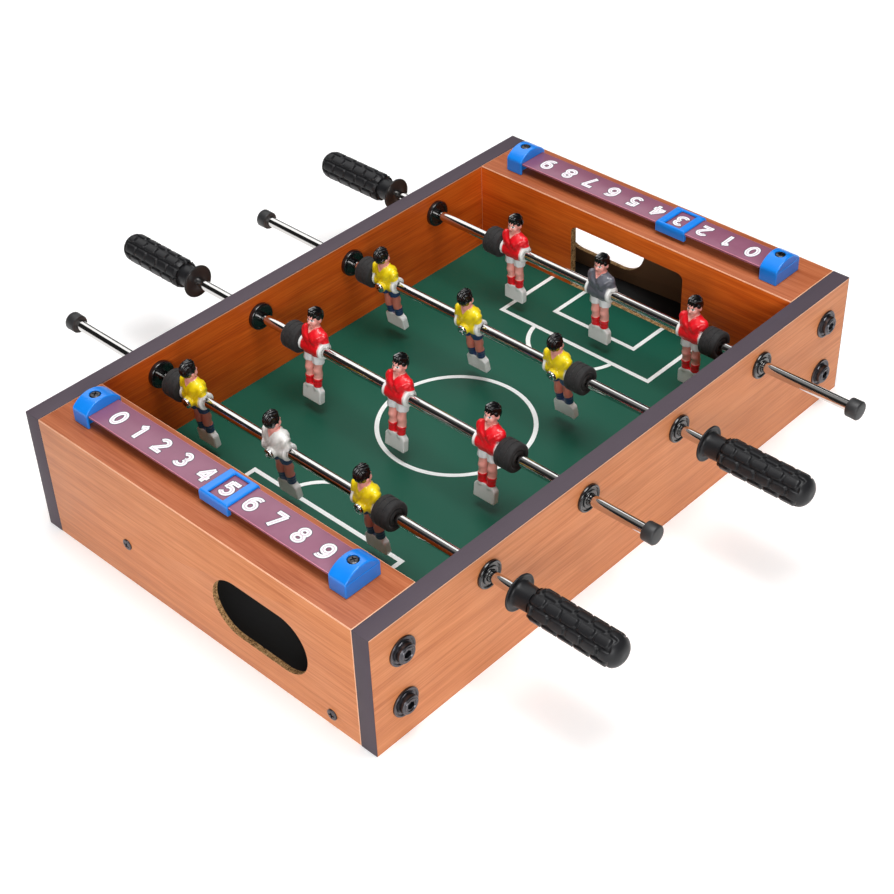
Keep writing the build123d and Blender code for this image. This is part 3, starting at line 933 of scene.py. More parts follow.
def end_top():
    """Left end top, folded down at both edges."""
    low = HEIGHT - PANEL_T
    outline = [(-END_X, HEIGHT), (-BOX_OUT, low), (-BOX_IN, low), (-GOAL_X, HEIGHT)]
    board = softened(prism(outline, -INNER_Y, INNER_Y, 1), FOLD_R, finish=FOLD)
    return backed(board, lambda at: at[2] > HEIGHT - 0.1)


def goal_wall():
    """Left goal wall, its mouth open down to the field."""
    outline = [(-GOAL_X, HEIGHT), (-BOX_IN, HEIGHT - PANEL_T), (-BOX_IN, 0), (-GOAL_X, 0)]
    board = softened(prism(outline, -INNER_Y, INNER_Y, 1), FOLD_R, finish=FOLD)
    mouth = rounded([(-GOAL_HALF_W, FIELD_TOP), (GOAL_HALF_W, FIELD_TOP),
                     (GOAL_HALF_W, GOAL_TOP), (-GOAL_HALF_W, GOAL_TOP)],
                    [0, 0, GOAL_CORNER_R, GOAL_CORNER_R], 8)
    board = cut(board, prism(mouth, -BOX_IN - 1, -GOAL_X + 1, 0), finish=RAW)
    return backed(board, lambda at: at[0] > -GOAL_X - 0.1)


def edge_band():
    """Plastic strip over the near board's top edge and down both its ends."""
    inner, under = END_X - BAND_T, HEIGHT - BAND_T
    outline = [(-END_X, 0), (-END_X, HEIGHT), (END_X, HEIGHT), (END_X, 0), (inner, 0),
               (inner, under), (-inner, under), (-inner, 0)]
    return softened(prism(outline, -SIDE_Y, -INNER_Y, 1), 0.28)


def build_cabinet():
    boards = (("end_panel", end_panel, end_laminate), ("end_top", end_top, top_laminate),
              ("goal_wall", goal_wall, wall_laminate))
    for end, about in ENDS:
        for name, make, face_paint in boards:
            node = f"{name}_{end}"
            piece(f"{node}_board", make().moved(CABINET @ about),
                  [face_paint, fold_and_highlight_paint, raw_paint, shaded_back_paint], "cabinet",
                  "laminated_wood", node)
    for side, about in SIDES:
        node = f"edge_bands_{side}"
        piece(f"{node}_strip", edge_band().moved(CABINET @ about), band_paint, "cabinet",
              "edge_band", node)
    repaint("side_board_near", side_laminate())
    repaint("side_board_far", side_laminate())
    repaint("playing_field", field_paint())
    for node in ("end_cheeks", "field_battens", "ramp_blocks"):
        repaint(node, softwood_paint)
    for node in ("ball_ramp_left", "ball_ramp_right"):
        repaint(node, ramp_paint)
    repaint("insert_nuts", zinc_paint)


def repaint(node, paint):
    """A CAD node keeps its shape and gets its finish."""
    slots = frame["nodes"][node].data.materials
    slots.clear()
    slots.append(paint.material)


# ------------------------------------------------------------------------- pitch lines
LINE_W = 3.5
LINE_T = 0.12
CIRCLE_R = 59.5
AREA_X, AREA_Y = 135.0, 74.5            # penalty area, to the middle of its lines
SMALL_X, SMALL_Y = 161.0, 40.0          # goal area
ARC_X, ARC_R = 142.0, 40.0              # arc in front of the penalty area


def stripe(path, closed=False, width=LINE_W, low=FIELD_TOP, thick=LINE_T):
    """A flat line of paint or plastic along a path of (x, y) points."""
    path = [np.array(p, float) for p in path]
    left, right = [], []
    count = len(path)
    for k, point in enumerate(path):
        before = path[k] - path[k - 1] if k > 0 or closed else path[1] - path[0]
        after = path[(k + 1) % count] - path[k] if k < count - 1 or closed else before
        before, after = before / np.linalg.norm(before), after / np.linalg.norm(after)
        across = np.array([-before[1] - after[1], before[0] + after[0]])
        across /= np.linalg.norm(across)
        across *= width / 2 / max(across @ np.array([-before[1], before[0]]), 0.2)
        left.append(point + across)
        right.append(point - across)
    points = [(*p, low) for p in left + right] + [(*p, low + thick) for p in left + right]
    total = 2 * count
    faces = []
    for k in range(count if closed else count - 1):
        n = (k + 1) % count
        faces.append((k + total, count + k + total, count + n + total, n + total))
        faces.append((k, n, count + n, count + k))
        faces.append((k, k + total, n + total, n))
        faces.append((count + k, count + n, count + n + total, count + k + total))
    if not closed:
        e = count - 1
        faces.append((0, count, count + total, total))
        faces.append((e, e + total, count + e + total, count + e))
    return outward(Shape(points, faces))


def pitch_lines():
    circle = [(CIRCLE_R * math.cos(a), CIRCLE_R * math.sin(a))
              for a in np.linspace(0, 2 * math.pi, 97)[:-1]]
    end = GOAL_X - 0.2
    area = [(-end, -AREA_Y), (-AREA_X, -AREA_Y), (-AREA_X, AREA_Y), (-end, AREA_Y)]
    small = [(-end, -SMALL_Y), (-SMALL_X, -SMALL_Y), (-SMALL_X, SMALL_Y), (-end, SMALL_Y)]
    reach = math.acos((ARC_X - AREA_X + LINE_W / 2) / ARC_R)
    arc = [(-ARC_X + ARC_R * math.cos(a), ARC_R * math.sin(a))
           for a in np.linspace(-reach, reach, 41)]
    left = joined([stripe(area), stripe(small), stripe(arc)])
    lines = joined([stripe(circle, True), left, left.moved(TURN_ABOUT)])
    piece("pitch_lines", lines.moved(CABINET), line_paint, "cabinet", "green_field")


# --------------------------------------------------------------------------- fasteners
WASHER_R = 10.5                         # of the CAD's washers, which give the bolts' places
WASHER_T = 1.6
QUARTER_TURN, WHOLE_TURN = 1.5, 6.28    # the most that a fastener is spun, in radians


def cross_drive(size, depth, top):
    """Cutters for a cross-head recess whose floor is `depth` under `top`."""
    half, thin = size / 2, size * 0.12
    return [block((-half, -thin, top - depth), (half, thin, top + 1)),
            block((-thin, -half, top - depth), (thin, half, top + 1))]


def socket_bolt():
    """Round-headed bolt with a hexagon socket, its head standing on z = 0."""
    head = lathe([(-34, 0), (-34, 3), (0, 3), (0, 7.2), (2.8, 7.2), (3.5, 6.5), (3.5, 5.5),
                  (4.0, 5.2), (4.0, 4.3), (3.4, 3.9), (3.4, 0)], 48)
    hexagon = [(3.2 * math.cos(a), 3.2 * math.sin(a)) for a in np.arange(6) * math.pi / 3]
    return cut(head, prism(hexagon, 1.2, 6, 2))


def stepped_washer():
    """Washer with a raised rim and a raised seat for the bolt's head."""
    return lathe([(0, 3.3), (0, 10.9), (1.0, 10.9), (1.3, 10.6), (1.3, 9.6), (0.6, 9.0),
                  (0.6, 8.2), (WASHER_T, 7.9), (WASHER_T, 3.3)], 56)


def pan_screw(head_r, head_h, length, shank_r, drive):
    """Screw with a domed head, standing on z = 0."""
    crown = [(head_h * math.sin(a) * 0.45 + head_h * 0.55, head_r * math.cos(a) ** 0.6)
             for a in np.linspace(0, math.pi / 2, 7)[:-1]]
    head = lathe([(-length, 0), (-length, shank_r), (0, shank_r), (0, head_r), *crown,
                  (head_h, 0)], 32)
    return cut(head, *cross_drive(drive, head_h * 0.75, head_h))


def bushing():
    """Flanged bushing with a raised ring round the rod."""
    return lathe([(-17, ROD_R + 0.05), (-17, 7.8), (0, 7.8), (0, 10.5), (1.5, 10.5), (2.1, 10.1),
                  (2.3, 9.6), (2.1, 9.0), (1.2, 8.5), (1.1, 7.2), (1.3, 6.8), (2.3, 6.5),
                  (2.5, 6.1), (2.5, 5.0), (2.2, 4.5), (1.4, ROD_R + 0.05)], 56)


def ring_nut():
    """Ring that holds a bushing from inside."""
    return lathe([(0, 7.82), (0, 10.8), (2.6, 10.8), (3.3, 10.5), (3.8, 9.8), (3.8, 8.6),
                  (3.4, 8.2), (3.4, 7.82)], 48)


def at_both_sides(x, z, out, inward=False):
    """(point, aim) on both side boards, `out` from the face."""
    places = []
    for side in (-1, 1):
        y = MID_Y + side * (INNER_Y - out if inward else SIDE_Y + out)
        places.append(((x, y, z), (0, -side if inward else side, 0)))
    return places


def build_fasteners():
    low, high = corners("corner_washers")
    bolt_x = high[0] - WASHER_R
    spots = [(x, z) for x in (-bolt_x, bolt_x) for z in (low[2] + WASHER_R, high[2] - WASHER_R)]
    faces = [place for x, z in spots for place in at_both_sides(x, z, 0)]
    heads = [place for x, z in spots for place in at_both_sides(x, z, WASHER_T)]
    set_out("corner_washer_set", stepped_washer(), faces, steel_paint, "cabinet", "black_steel",
            "corner_washers")
    set_out("corner_bolt_set", socket_bolt(), heads, steel_paint, "cabinet", "black_steel",
            "corner_bolts", spin=WHOLE_TURN)
    flanges = []
    nuts = []
    for n in RODS:
        x, z = ROD_PLACE[n][0], ROD_PLACE[n][2]
        flanges += at_both_sides(x, z, 0)
        nuts += at_both_sides(x, z, 0, inward=True)
    set_out("rod_bushing_set", bushing(), flanges, gloss_paint, "cabinet", "black_plastic",
            "rod_bushings")
    set_out("bushing_nut_set", ring_nut(), nuts, gloss_paint, "cabinet", "black_plastic",
            "bushing_nuts")
    ends = []
    for y, z in PANEL_SCREWS:
        ends += [((-END_X, MID_Y + y, z), (-1, 0, 0)), ((END_X, MID_Y - y, z), (1, 0, 0))]
    screw = pan_screw(head_r=4.2, head_h=1.3, length=12, shank_r=1.2, drive=5.0)
    set_out("panel_screw_set", screw, ends, steel_paint, "cabinet", "black_steel",
            "panel_screws", spin=QUARTER_TURN)


# ----------------------------------------------------------------------------- scorers
BAR_TOP = 10.0                          # heights here are above the end top
BAR_T = 1.8
BAR_HALF_W = 12.85
BAR_HALF_L = 131.0
BLOCK_HALF_W = 15.0
BLOCK_IN, BLOCK_OUT = 118.0, 133.5
BLOCK_SIDE_H, BLOCK_CROWN_H = 11.5, 18.5
SCREW_SEAT = 16.7
SLIDER_HALF_W, SLIDER_HALF_L = 14.4, 14.0
SLIDER_FOOT, SLIDER_TOP = 3.2, 12.0
WINDOW_HALF_W, WINDOW_HALF_L = 11.3, 7.0
DIGIT_STROKE = 3.0
DIGIT_SCALE = 1.1
INK_STEP = 0.015                        # each stroke lies this much over the one before


def block_depth(p):
    """Arched end block of a number strip; Y is along the strip and Z above the end top."""
    x, y, z = p[..., 0], p[..., 1], p[..., 2]
    side = np.abs(x)
    rise = BLOCK_CROWN_H - BLOCK_SIDE_H
    arch_r = (BLOCK_HALF_W ** 2 + rise ** 2) / (2 * rise)
    arch = np.hypot(x, z - (BLOCK_CROWN_H - arch_r)) - arch_r
    body = meet(0.8, side - BLOCK_HALF_W, BLOCK_IN - y, y - BLOCK_OUT, arch, -z)
    reach = BAR_HALF_W + 0.3
    slot = meet(0.1, side - reach, y - BAR_HALF_L - 0.2, z - BAR_TOP - 0.05, BAR_TOP - BAR_T - z)
    recess = meet(0.1, side - reach, y - BLOCK_IN - 4.5, z - BAR_TOP + BAR_T - 0.5)
    seat = meet(0.1, np.hypot(x, y - (BLOCK_IN + BLOCK_OUT) / 2) - 4.2, SCREW_SEAT - z)
    groove = np.hypot(y - BLOCK_OUT, z - BLOCK_SIDE_H + 0.4) - 0.38
    body = without(0.35, body, np.minimum(slot, recess))
    return without(0.3, without(0.35, body, seat), groove)


def slider_depth(p):
    """Window frame that hooks round the strip."""
    x, y, z = p[..., 0], p[..., 1], p[..., 2]
    side, along = np.abs(x), np.abs(y)
    slope = (side - SLIDER_HALF_W + 0.55 * (z - SLIDER_TOP + 1.6)) * 0.876
    end_slope = (along - SLIDER_HALF_L + 0.55 * (z - SLIDER_TOP + 1.6)) * 0.876
    body = meet(0.6, side - SLIDER_HALF_W, along - SLIDER_HALF_L, slope, end_slope,
                z - SLIDER_TOP, SLIDER_FOOT - z)
    reach = BAR_HALF_W + 0.3
    channel = meet(0.1, side - reach, z - BAR_TOP - 0.3, BAR_TOP - BAR_T - 0.3 - z)
    under = meet(0.1, side - reach + 1.8, z - BAR_TOP + BAR_T)
    flare = 0.45 * np.maximum(z - BAR_TOP - 1.0, 0)
    window = meet(0.6, side - WINDOW_HALF_W - flare, along - WINDOW_HALF_L - flare)
    body = without(0.25, body, np.minimum(channel, under))
    return without(0.4, body, window)


def bow(x, y, half_w, half_h, start, end, count):
    """Points round part of an ellipse; angles in degrees, anticlockwise from +X."""
    return [(x + half_w * math.cos(a), y + half_h * math.sin(a))
            for a in np.radians(np.linspace(start, end, count))]


def loop(x, y, half_w, half_h):
    return bow(x, y, half_w, half_h, 0, 360, 33)[:-1]


# Strokes of each digit, (path, closed), upright on X and Y and about 10.5 tall between
# the middles of its top and bottom strokes.
SIX_TAIL = bow(1.2, 0.9, 4.4, 4.4, 62, 180, 12) + [(-3.2, -2.0)]
DIGITS = (
    [(loop(0, 0, 3.3, 5.3), True)],
    [([(0.8, -6.7), (0.8, 5.4)], False), ([(1.2, 6.0), (-2.6, 3.4)], False)],
    [(bow(-0.1, 2.6, 3.1, 2.7, 165, -30, 14) + [(-3.0, -5.2)], False),
     ([(-4.2, -5.3), (4.0, -5.3)], False)],
    [(bow(-0.3, 2.6, 2.9, 2.7, 150, -80, 14), False),
     (bow(-0.3, -2.6, 3.3, 2.7, 80, -150, 14), False)],
    [([(1.9, -6.7), (1.9, 5.9)], False), ([(2.3, 5.9), (-3.7, -2.3)], False),
     ([(-4.5, -2.5), (4.6, -2.5)], False)],
    [([(3.8, 5.3), (-2.2, 5.3)], False), ([(-2.2, 6.1), (-2.7, -0.2)], False),
     (bow(-0.1, -1.9, 3.3, 3.4, 140, -150, 18), False)],
    [(loop(0.1, -2.0, 3.2, 3.3), True), (SIX_TAIL, False)],
    [([(-3.9, 5.3), (4.0, 5.3)], False), ([(3.6, 5.6), (-0.9, -6.7)], False)],
    [(loop(0, 2.8, 2.7, 2.5), True), (loop(0, -2.6, 3.2, 2.7), True)],
    [([(-x, -y) for x, y in loop(0.1, -2.0, 3.2, 3.3)], True),
     ([(-x, -y) for x, y in SIX_TAIL], False)],
)


def lengthened(path, more):
    """An open path with both its ends carried on by a little."""
    ends = []
    for end, inner in ((path[0], path[1]), (path[-1], path[-2])):
        way = np.array(end, float) - np.array(inner, float)
        ends.append(tuple(np.array(end) + way / np.linalg.norm(way) * more))
    return [ends[0], *path[1:-1], ends[1]]


def digit_row(border, thick):
    """The digits 0 to 9 along the left strip, read from the left goal's side. A border
    makes each stroke that much wider all round, or narrower when it is below zero."""
    row = []
    for number, strokes in enumerate(DIGITS):
        place = shift(SCORER_X, (4.5 - number) * DIGIT_PITCH, 0) @ turn(-90, "Z")
        place = place @ Matrix.Diagonal((DIGIT_SCALE, DIGIT_SCALE, 1, 1))
        for layer, (path, closed) in enumerate(strokes):
            path = path if closed else lengthened(path, border)
            row.append(stripe(path, closed, DIGIT_STROKE + 2 * border, HEIGHT + BAR_TOP,
                              thick + INK_STEP * layer).moved(place))
    return joined(row)


def build_scorers():
    middle = (BLOCK_IN + BLOCK_OUT) / 2
    top = HEIGHT + BAR_TOP
    # The strip's rounded edges take a lighter pink: a painted highlight.
    bar = softened(block((SCORER_X - BAR_HALF_W, -BAR_HALF_L, top - BAR_T),
                         (SCORER_X + BAR_HALF_W, BAR_HALF_L, top)), 0.32, finish=1)
    low = (-BLOCK_HALF_W - 1, BLOCK_IN - 1, -1)
    high = (BLOCK_HALF_W + 1, BLOCK_OUT + 1, BLOCK_CROWN_H + 1)
    end_block = outward(skin(block_depth, low, high, step=0.45))
    end_block = end_block.moved(shift(SCORER_X, 0, HEIGHT))
    low = (-SLIDER_HALF_W - 1, -SLIDER_HALF_L - 1, SLIDER_FOOT - 1)
    high = (SLIDER_HALF_W + 1, SLIDER_HALF_L + 1, SLIDER_TOP + 1)
    frame_shape = outward(skin(slider_depth, low, high, step=0.4))
    prints = (("score_digit_outlines", digit_row(border=0.55, thick=0.05), outline_paint),
              ("score_digits", digit_row(border=0.0, thick=0.12), number_paint),
              ("score_digit_inlines", digit_row(border=-1.2, thick=0.20), inline_paint))
    other_block = outward(end_block.moved(Matrix.Diagonal((1, -1, 1, 1))))
    blocks = []
    screws = []
    for end, about in ENDS:
        place = CABINET @ about
        piece(f"scorer_bar_{end}_strip", bar.moved(place), [strip_paint, painted_strip_highlight],
              "cabinet", "mauve_plastic", f"scorer_bar_{end}")
        for name, shape, ink in prints:
            piece(f"{name}_{end}", shape.moved(place), ink, "cabinet", "mauve_plastic")
        blocks += [end_block.moved(place), other_block.moved(place)]
        for y in (-middle, middle):
            at = place @ Vector((SCORER_X, y, HEIGHT + SCREW_SEAT))
            screws.append((tuple(at), (0, 0, 1)))
        node = f"scorer_slider_{end}"
        slider_low, slider_high = corners(node)
        x, y = (slider_low[:2] + slider_high[:2]) / 2
        piece(f"{node}_window", frame_shape.moved(shift(x, y, HEIGHT)), blue_paint, node,
              "blue_plastic", node)
    piece("scorer_end_blocks", joined(blocks), blue_paint, "cabinet", "blue_plastic",
          "scorer_blocks")
    screw = pan_screw(head_r=3.8, head_h=1.7, length=21, shank_r=1.5, drive=4.4)
    set_out("scorer_screw_set", screw, screws, steel_paint, "cabinet", "black_steel",
            "scorer_screws", spin=QUARTER_TURN)


# -------------------------------------------------------------------------------- rods
BUMPER_IN, BUMPER_OUT, BUMPER_R = 99.1, 113.6, 11.0
CAP_IN, CAP_OUT, CAP_R = 222.5, 232.0, 7.2
GUARD_IN, GUARD_R = 219.0, 13.4
BARREL_IN, GRIP_OUT, BARREL_R = 234.0, 303.0, 11.7
DOME_R = 9.6
ROD_INTO_GRIP = 285.0
TUBE_WALL = 0.8
OUTWARD = turn(90, "X")                 # carries a lathed piece's +Z to the near end, -Y


def rod_frame(n):
    """From a man's own frame, on the rod's axis, to the row's frame."""
    return shift(*ROD_PLACE[n]) @ turn(-ROD_LEAN[n], "Y")


def bumper():
    """Rubber ring, its open face dished, with two moulded grooves."""
    rim = BUMPER_R
    a, b = BUMPER_IN, BUMPER_OUT
    groove = [(0.0, 0.0), (0.25, -0.3), (0.75, -0.3), (1.0, 0.0)]
    grooves = [(a + at + along, rim + deep) for at in (4.4, 9.0) for along, deep in groove]
    return lathe([(a, ROD_R + 0.05), (a, 9.4), (a + 0.5, 10.4), (a + 1.4, rim), *grooves,
                  (b - 1.5, rim), (b - 0.6, 10.6), (b - 0.1, 9.9), (b, 9.2), (b, 7.9),
                  (b - 0.5, 7.3), (b - 1.4, 7.0), (b - 1.4, 5.9), (b - 0.8, 5.5),
                  (b - 0.8, ROD_R + 0.05)], 72)


def end_cap():
    """Cap with a soft rim and a shallow waist."""
    a, b = -CAP_OUT, -CAP_IN
    return lathe([(a, 0), (a, 5.6), (a + 0.35, 6.6), (a + 1.2, CAP_R), (a + 6.2, CAP_R - 0.15),
                  (b - 0.9, CAP_R - 0.1), (b - 0.2, CAP_R - 0.45), (b, CAP_R - 1.0), (b, ROD_R),
                  (a + 2, ROD_R), (a + 2, 0)], 56)


def guard_and_neck():
    """Thin guard disc and the plain neck behind it."""
    a = GUARD_IN
    return lathe([(a, ROD_R), (a, 5.4), (a + 0.35, 6.0), (a + 0.35, 12.2), (a + 0.1, 12.9),
                  (a + 0.4, GUARD_R - 0.1), (a + 0.9, GUARD_R), (a + 1.35, GUARD_R - 0.15),
                  (a + 1.6, 12.7), (a + 1.5, 12.2), (a + 1.3, 11.8), (a + 1.3, 9.8),
                  (a + 1.6, 9.3), (a + 2.4, 9.0), (a + 4.0, 8.8), (a + 13.6, 8.5),
                  (a + 15.2, 8.8), (a + 17.5, 8.8), (a + 17.5, ROD_R)], 72)


def barrel_tree():
    """The grip's barrel: a sheet rolled round the rod's axis, with staggered pads left
    proud between its grooves. Along is +Z and all sizes are in millimetres."""
    sizes = ("Length", "Radius", "Dome", "Bore", "Groove Depth", "Groove Width", "Rows",
             "Columns", "Corner", "Pad Start", "Pad End")
    group = node_group("grip_barrel", {label: "Float" for label in sizes})
    tree = Tree(group)
    length, radius, dome, bore, deep, wide, rows, columns, corner, pad_start, pad_end = [
        group_input(tree, label) for label in sizes]
    sheet = tree.add("GeometryNodeMeshGrid", None,
                     {"Size X": 1.0, "Size Y": 1.0, "Vertices X": 190, "Vertices Y": 145},
                     output="Mesh")
    at = tree.add("ShaderNodeSeparateXYZ", None, {0: tree.add("GeometryNodeInputPosition")})
    across, around = [Term(tree, at.socket.node.outputs[k]) for k in (0, 1)]
    straight = length - dome
    quarter = dome * (math.pi / 2)
    face = radius - bore
    walked = (across + 0.5) * (face + straight + quarter + radius - dome)
    on_face = tree.least(walked, face)
    on_side = tree.within(walked - face, 0.0, straight)
    bend = tree.within(walked - face - straight, 0.0, quarter) / dome
    on_tip = tree.most(walked - face - straight - quarter, 0.0)
    fall = dome * (1.0 - tree.maths("COSINE", bend))
    plain_r = bore + on_face - fall - on_tip
    along = on_side + dome * tree.sine(bend)
    flat_along = on_side + dome * bend
    pitch = (pad_end - pad_start) / rows
    share = (around + 0.5) * columns
    column = tree.maths("FLOOR", share)
    stagger = tree.maths("MODULO", column, 2.0) * 0.5
    row_at = (flat_along - pad_start) / pitch + stagger
    from_row = abs(tree.maths("FRACT", row_at + 1.0) - 0.5) * pitch
    pad_w = radius * (2 * math.pi) / columns
    from_column = abs(tree.maths("FRACT", share) - 0.5) * pad_w
    over_row = tree.most(from_row - (pitch - wide) * 0.5 + corner, 0.0)
    over_column = tree.most(from_column - (pad_w - wide) * 0.5 + corner, 0.0)
    outside = (over_row * over_row + over_column * over_column) ** 0.5 - corner
    pad = tree.above(0.0 - outside, -0.1, 0.6)
    smooth_tip = tree.above(flat_along, pad_end + 1.2, 1.4)
    shoulder = tree.above(flat_along, 1.4, 2.8)
    groove = deep * (1.0 - tree.most(pad, smooth_tip))
    shoulder_drop = (1.0 - shoulder) * 1.8 * tree.above(on_face, face - 0.5, 0.9)
    final_r = tree.most(plain_r - groove * tree.above(plain_r, bore + 3.0, 2.0) - shoulder_drop,
                        0.0)
    angle = (around + 0.5) * (2 * math.pi)
    spot = tree.add("ShaderNodeCombineXYZ", None,
                    {0: final_r * tree.maths("COSINE", angle) * MM,
                     1: final_r * tree.sine(angle) * MM, 2: along * MM})
    rolled = tree.add("GeometryNodeSetPosition", None, {"Geometry": sheet, "Position": spot})
    closed = tree.add("GeometryNodeMergeByDistance", None,
                      {"Geometry": rolled, "Distance": 0.00002})
    whole = tree.add("GeometryNodeRealizeInstances", None, {0: closed})
    painted = tree.add("GeometryNodeSetMaterial", None,
                       {"Geometry": whole, "Material": grip_paint.material})
    output = group.nodes.new("NodeGroupOutput")
    group.links.new(painted.socket, output.inputs[0])
    return group


def barrel():
    """The moulded barrel as a plain shape, its open end at z = 0."""
    made = to_mesh("barrel", block((0, 0, 0), (1, 1, 1)))
    modifier = made.modifiers.new("barrel", "NODES")
    modifier.node_group = barrel_tree()
    sizes = {"Length": GRIP_OUT - BARREL_IN, "Radius": BARREL_R, "Dome": DOME_R, "Bore": ROD_R,
             "Groove Depth": 1.4, "Groove Width": 2.0, "Rows": 5.0, "Columns": 8.0,
             "Corner": 2.0, "Pad Start": -1.5, "Pad End": 62.5}
    for label, size in sizes.items():
        set_input(modifier, label, float(size))
    return outward(as_shape(settled(made)))


def build_rods():
    grip_shape = joined([guard_and_neck(), barrel().moved(shift(z=BARREL_IN))])
    tube = lathe([(-CAP_OUT + 2.2, ROD_R - TUBE_WALL), (-CAP_OUT + 2.2, ROD_R),
                  (ROD_INTO_GRIP, ROD_R), (ROD_INTO_GRIP, ROD_R - TUBE_WALL)], 64)
    cap = end_cap()
    ring = bumper()
    screw = pan_screw(head_r=4.1, head_h=2.2, length=7, shank_r=1.5, drive=4.0)
    for n in RODS:
        body = f"rod_{n}"
        handed = rod_frame(n) @ turn(ROD_HAND[n], "Z") @ OUTWARD
        piece(f"rod_{n}_steel_tube", tube.moved(handed), chrome_paint, body, "chromed_steel",
              f"rod_{n}_tube")
        piece(f"rod_{n}_moulded_grip", grip_shape.moved(handed), grip_paint, body,
              "grip_plastic", f"rod_{n}_grip", sharp=50)
        piece(f"rod_{n}_plastic_cap", cap.moved(handed), cap_paint, body, "cap_plastic",
              f"rod_{n}_end_cap")
        rings = joined([ring.moved(shift(*ROD_PLACE[n]) @ turn(angle, "Z") @ OUTWARD)
                        for angle in (0, 180)])
        piece(f"rod_{n}_rubber_rings", rings, rubber_paint, f"rod_{n}_carriage",
              "bumper_rubber", f"rod_{n}_bumpers")
        facing = rod_frame(n) @ turn(ROD_FACING[n], "Z")
        screws = []
        for y in MEN_Y:
            at = facing @ Vector((BACK_X, y, 0))
            screws.append((tuple(at), tuple(facing.to_3x3() @ Vector((-1, 0, 0)))))
        set_out(f"rod_{n}_man_screw_set", screw, screws, bright_paint, body, "zinc_steel",
                f"rod_{n}_man_screws", spin=QUARTER_TURN)


# ------------------------------------------------------------------------- the players
# A man stands on the rod's axis, looks along +X, and his heights are from that axis.
HUB_R = 6.5
HUB_HALF = 11.5
BACK_X = -9.0
HAND_Y = 8.9
HEM_Z = -5.2
SHORTS_LOW = -12.0
SOCK_TOP = -25.4
SOCK_LOW = -32.6
COLLAR_Z, COLLAR_SLOPE = 13.2, 0.72
SHOULDER_Z = 17.6
EYE_Z = 23.9
FOOT_HALF_W, FOOT_HALF_T = 9.6, 2.8
FOOT_LOW, FOOT_HIGH, FOOT_CORNER = -46.6, -32.5, 3.4
LEG_Y = 4.3

# Half sizes of the trunk, front to back and side to side, at heights above the rod.
torso_depth = fair([-7, -3, 2, 7, 11, 15, 18.5], [4.4, 5.2, 6.0, 6.6, 6.4, 4.8, 2.6], 1.6)
torso_width = fair([-7, -3, 2, 7, 11, 14.5, 18.5], [6.4, 7.4, 8.8, 9.8, 10.2, 8.8, 3.2], 1.6)


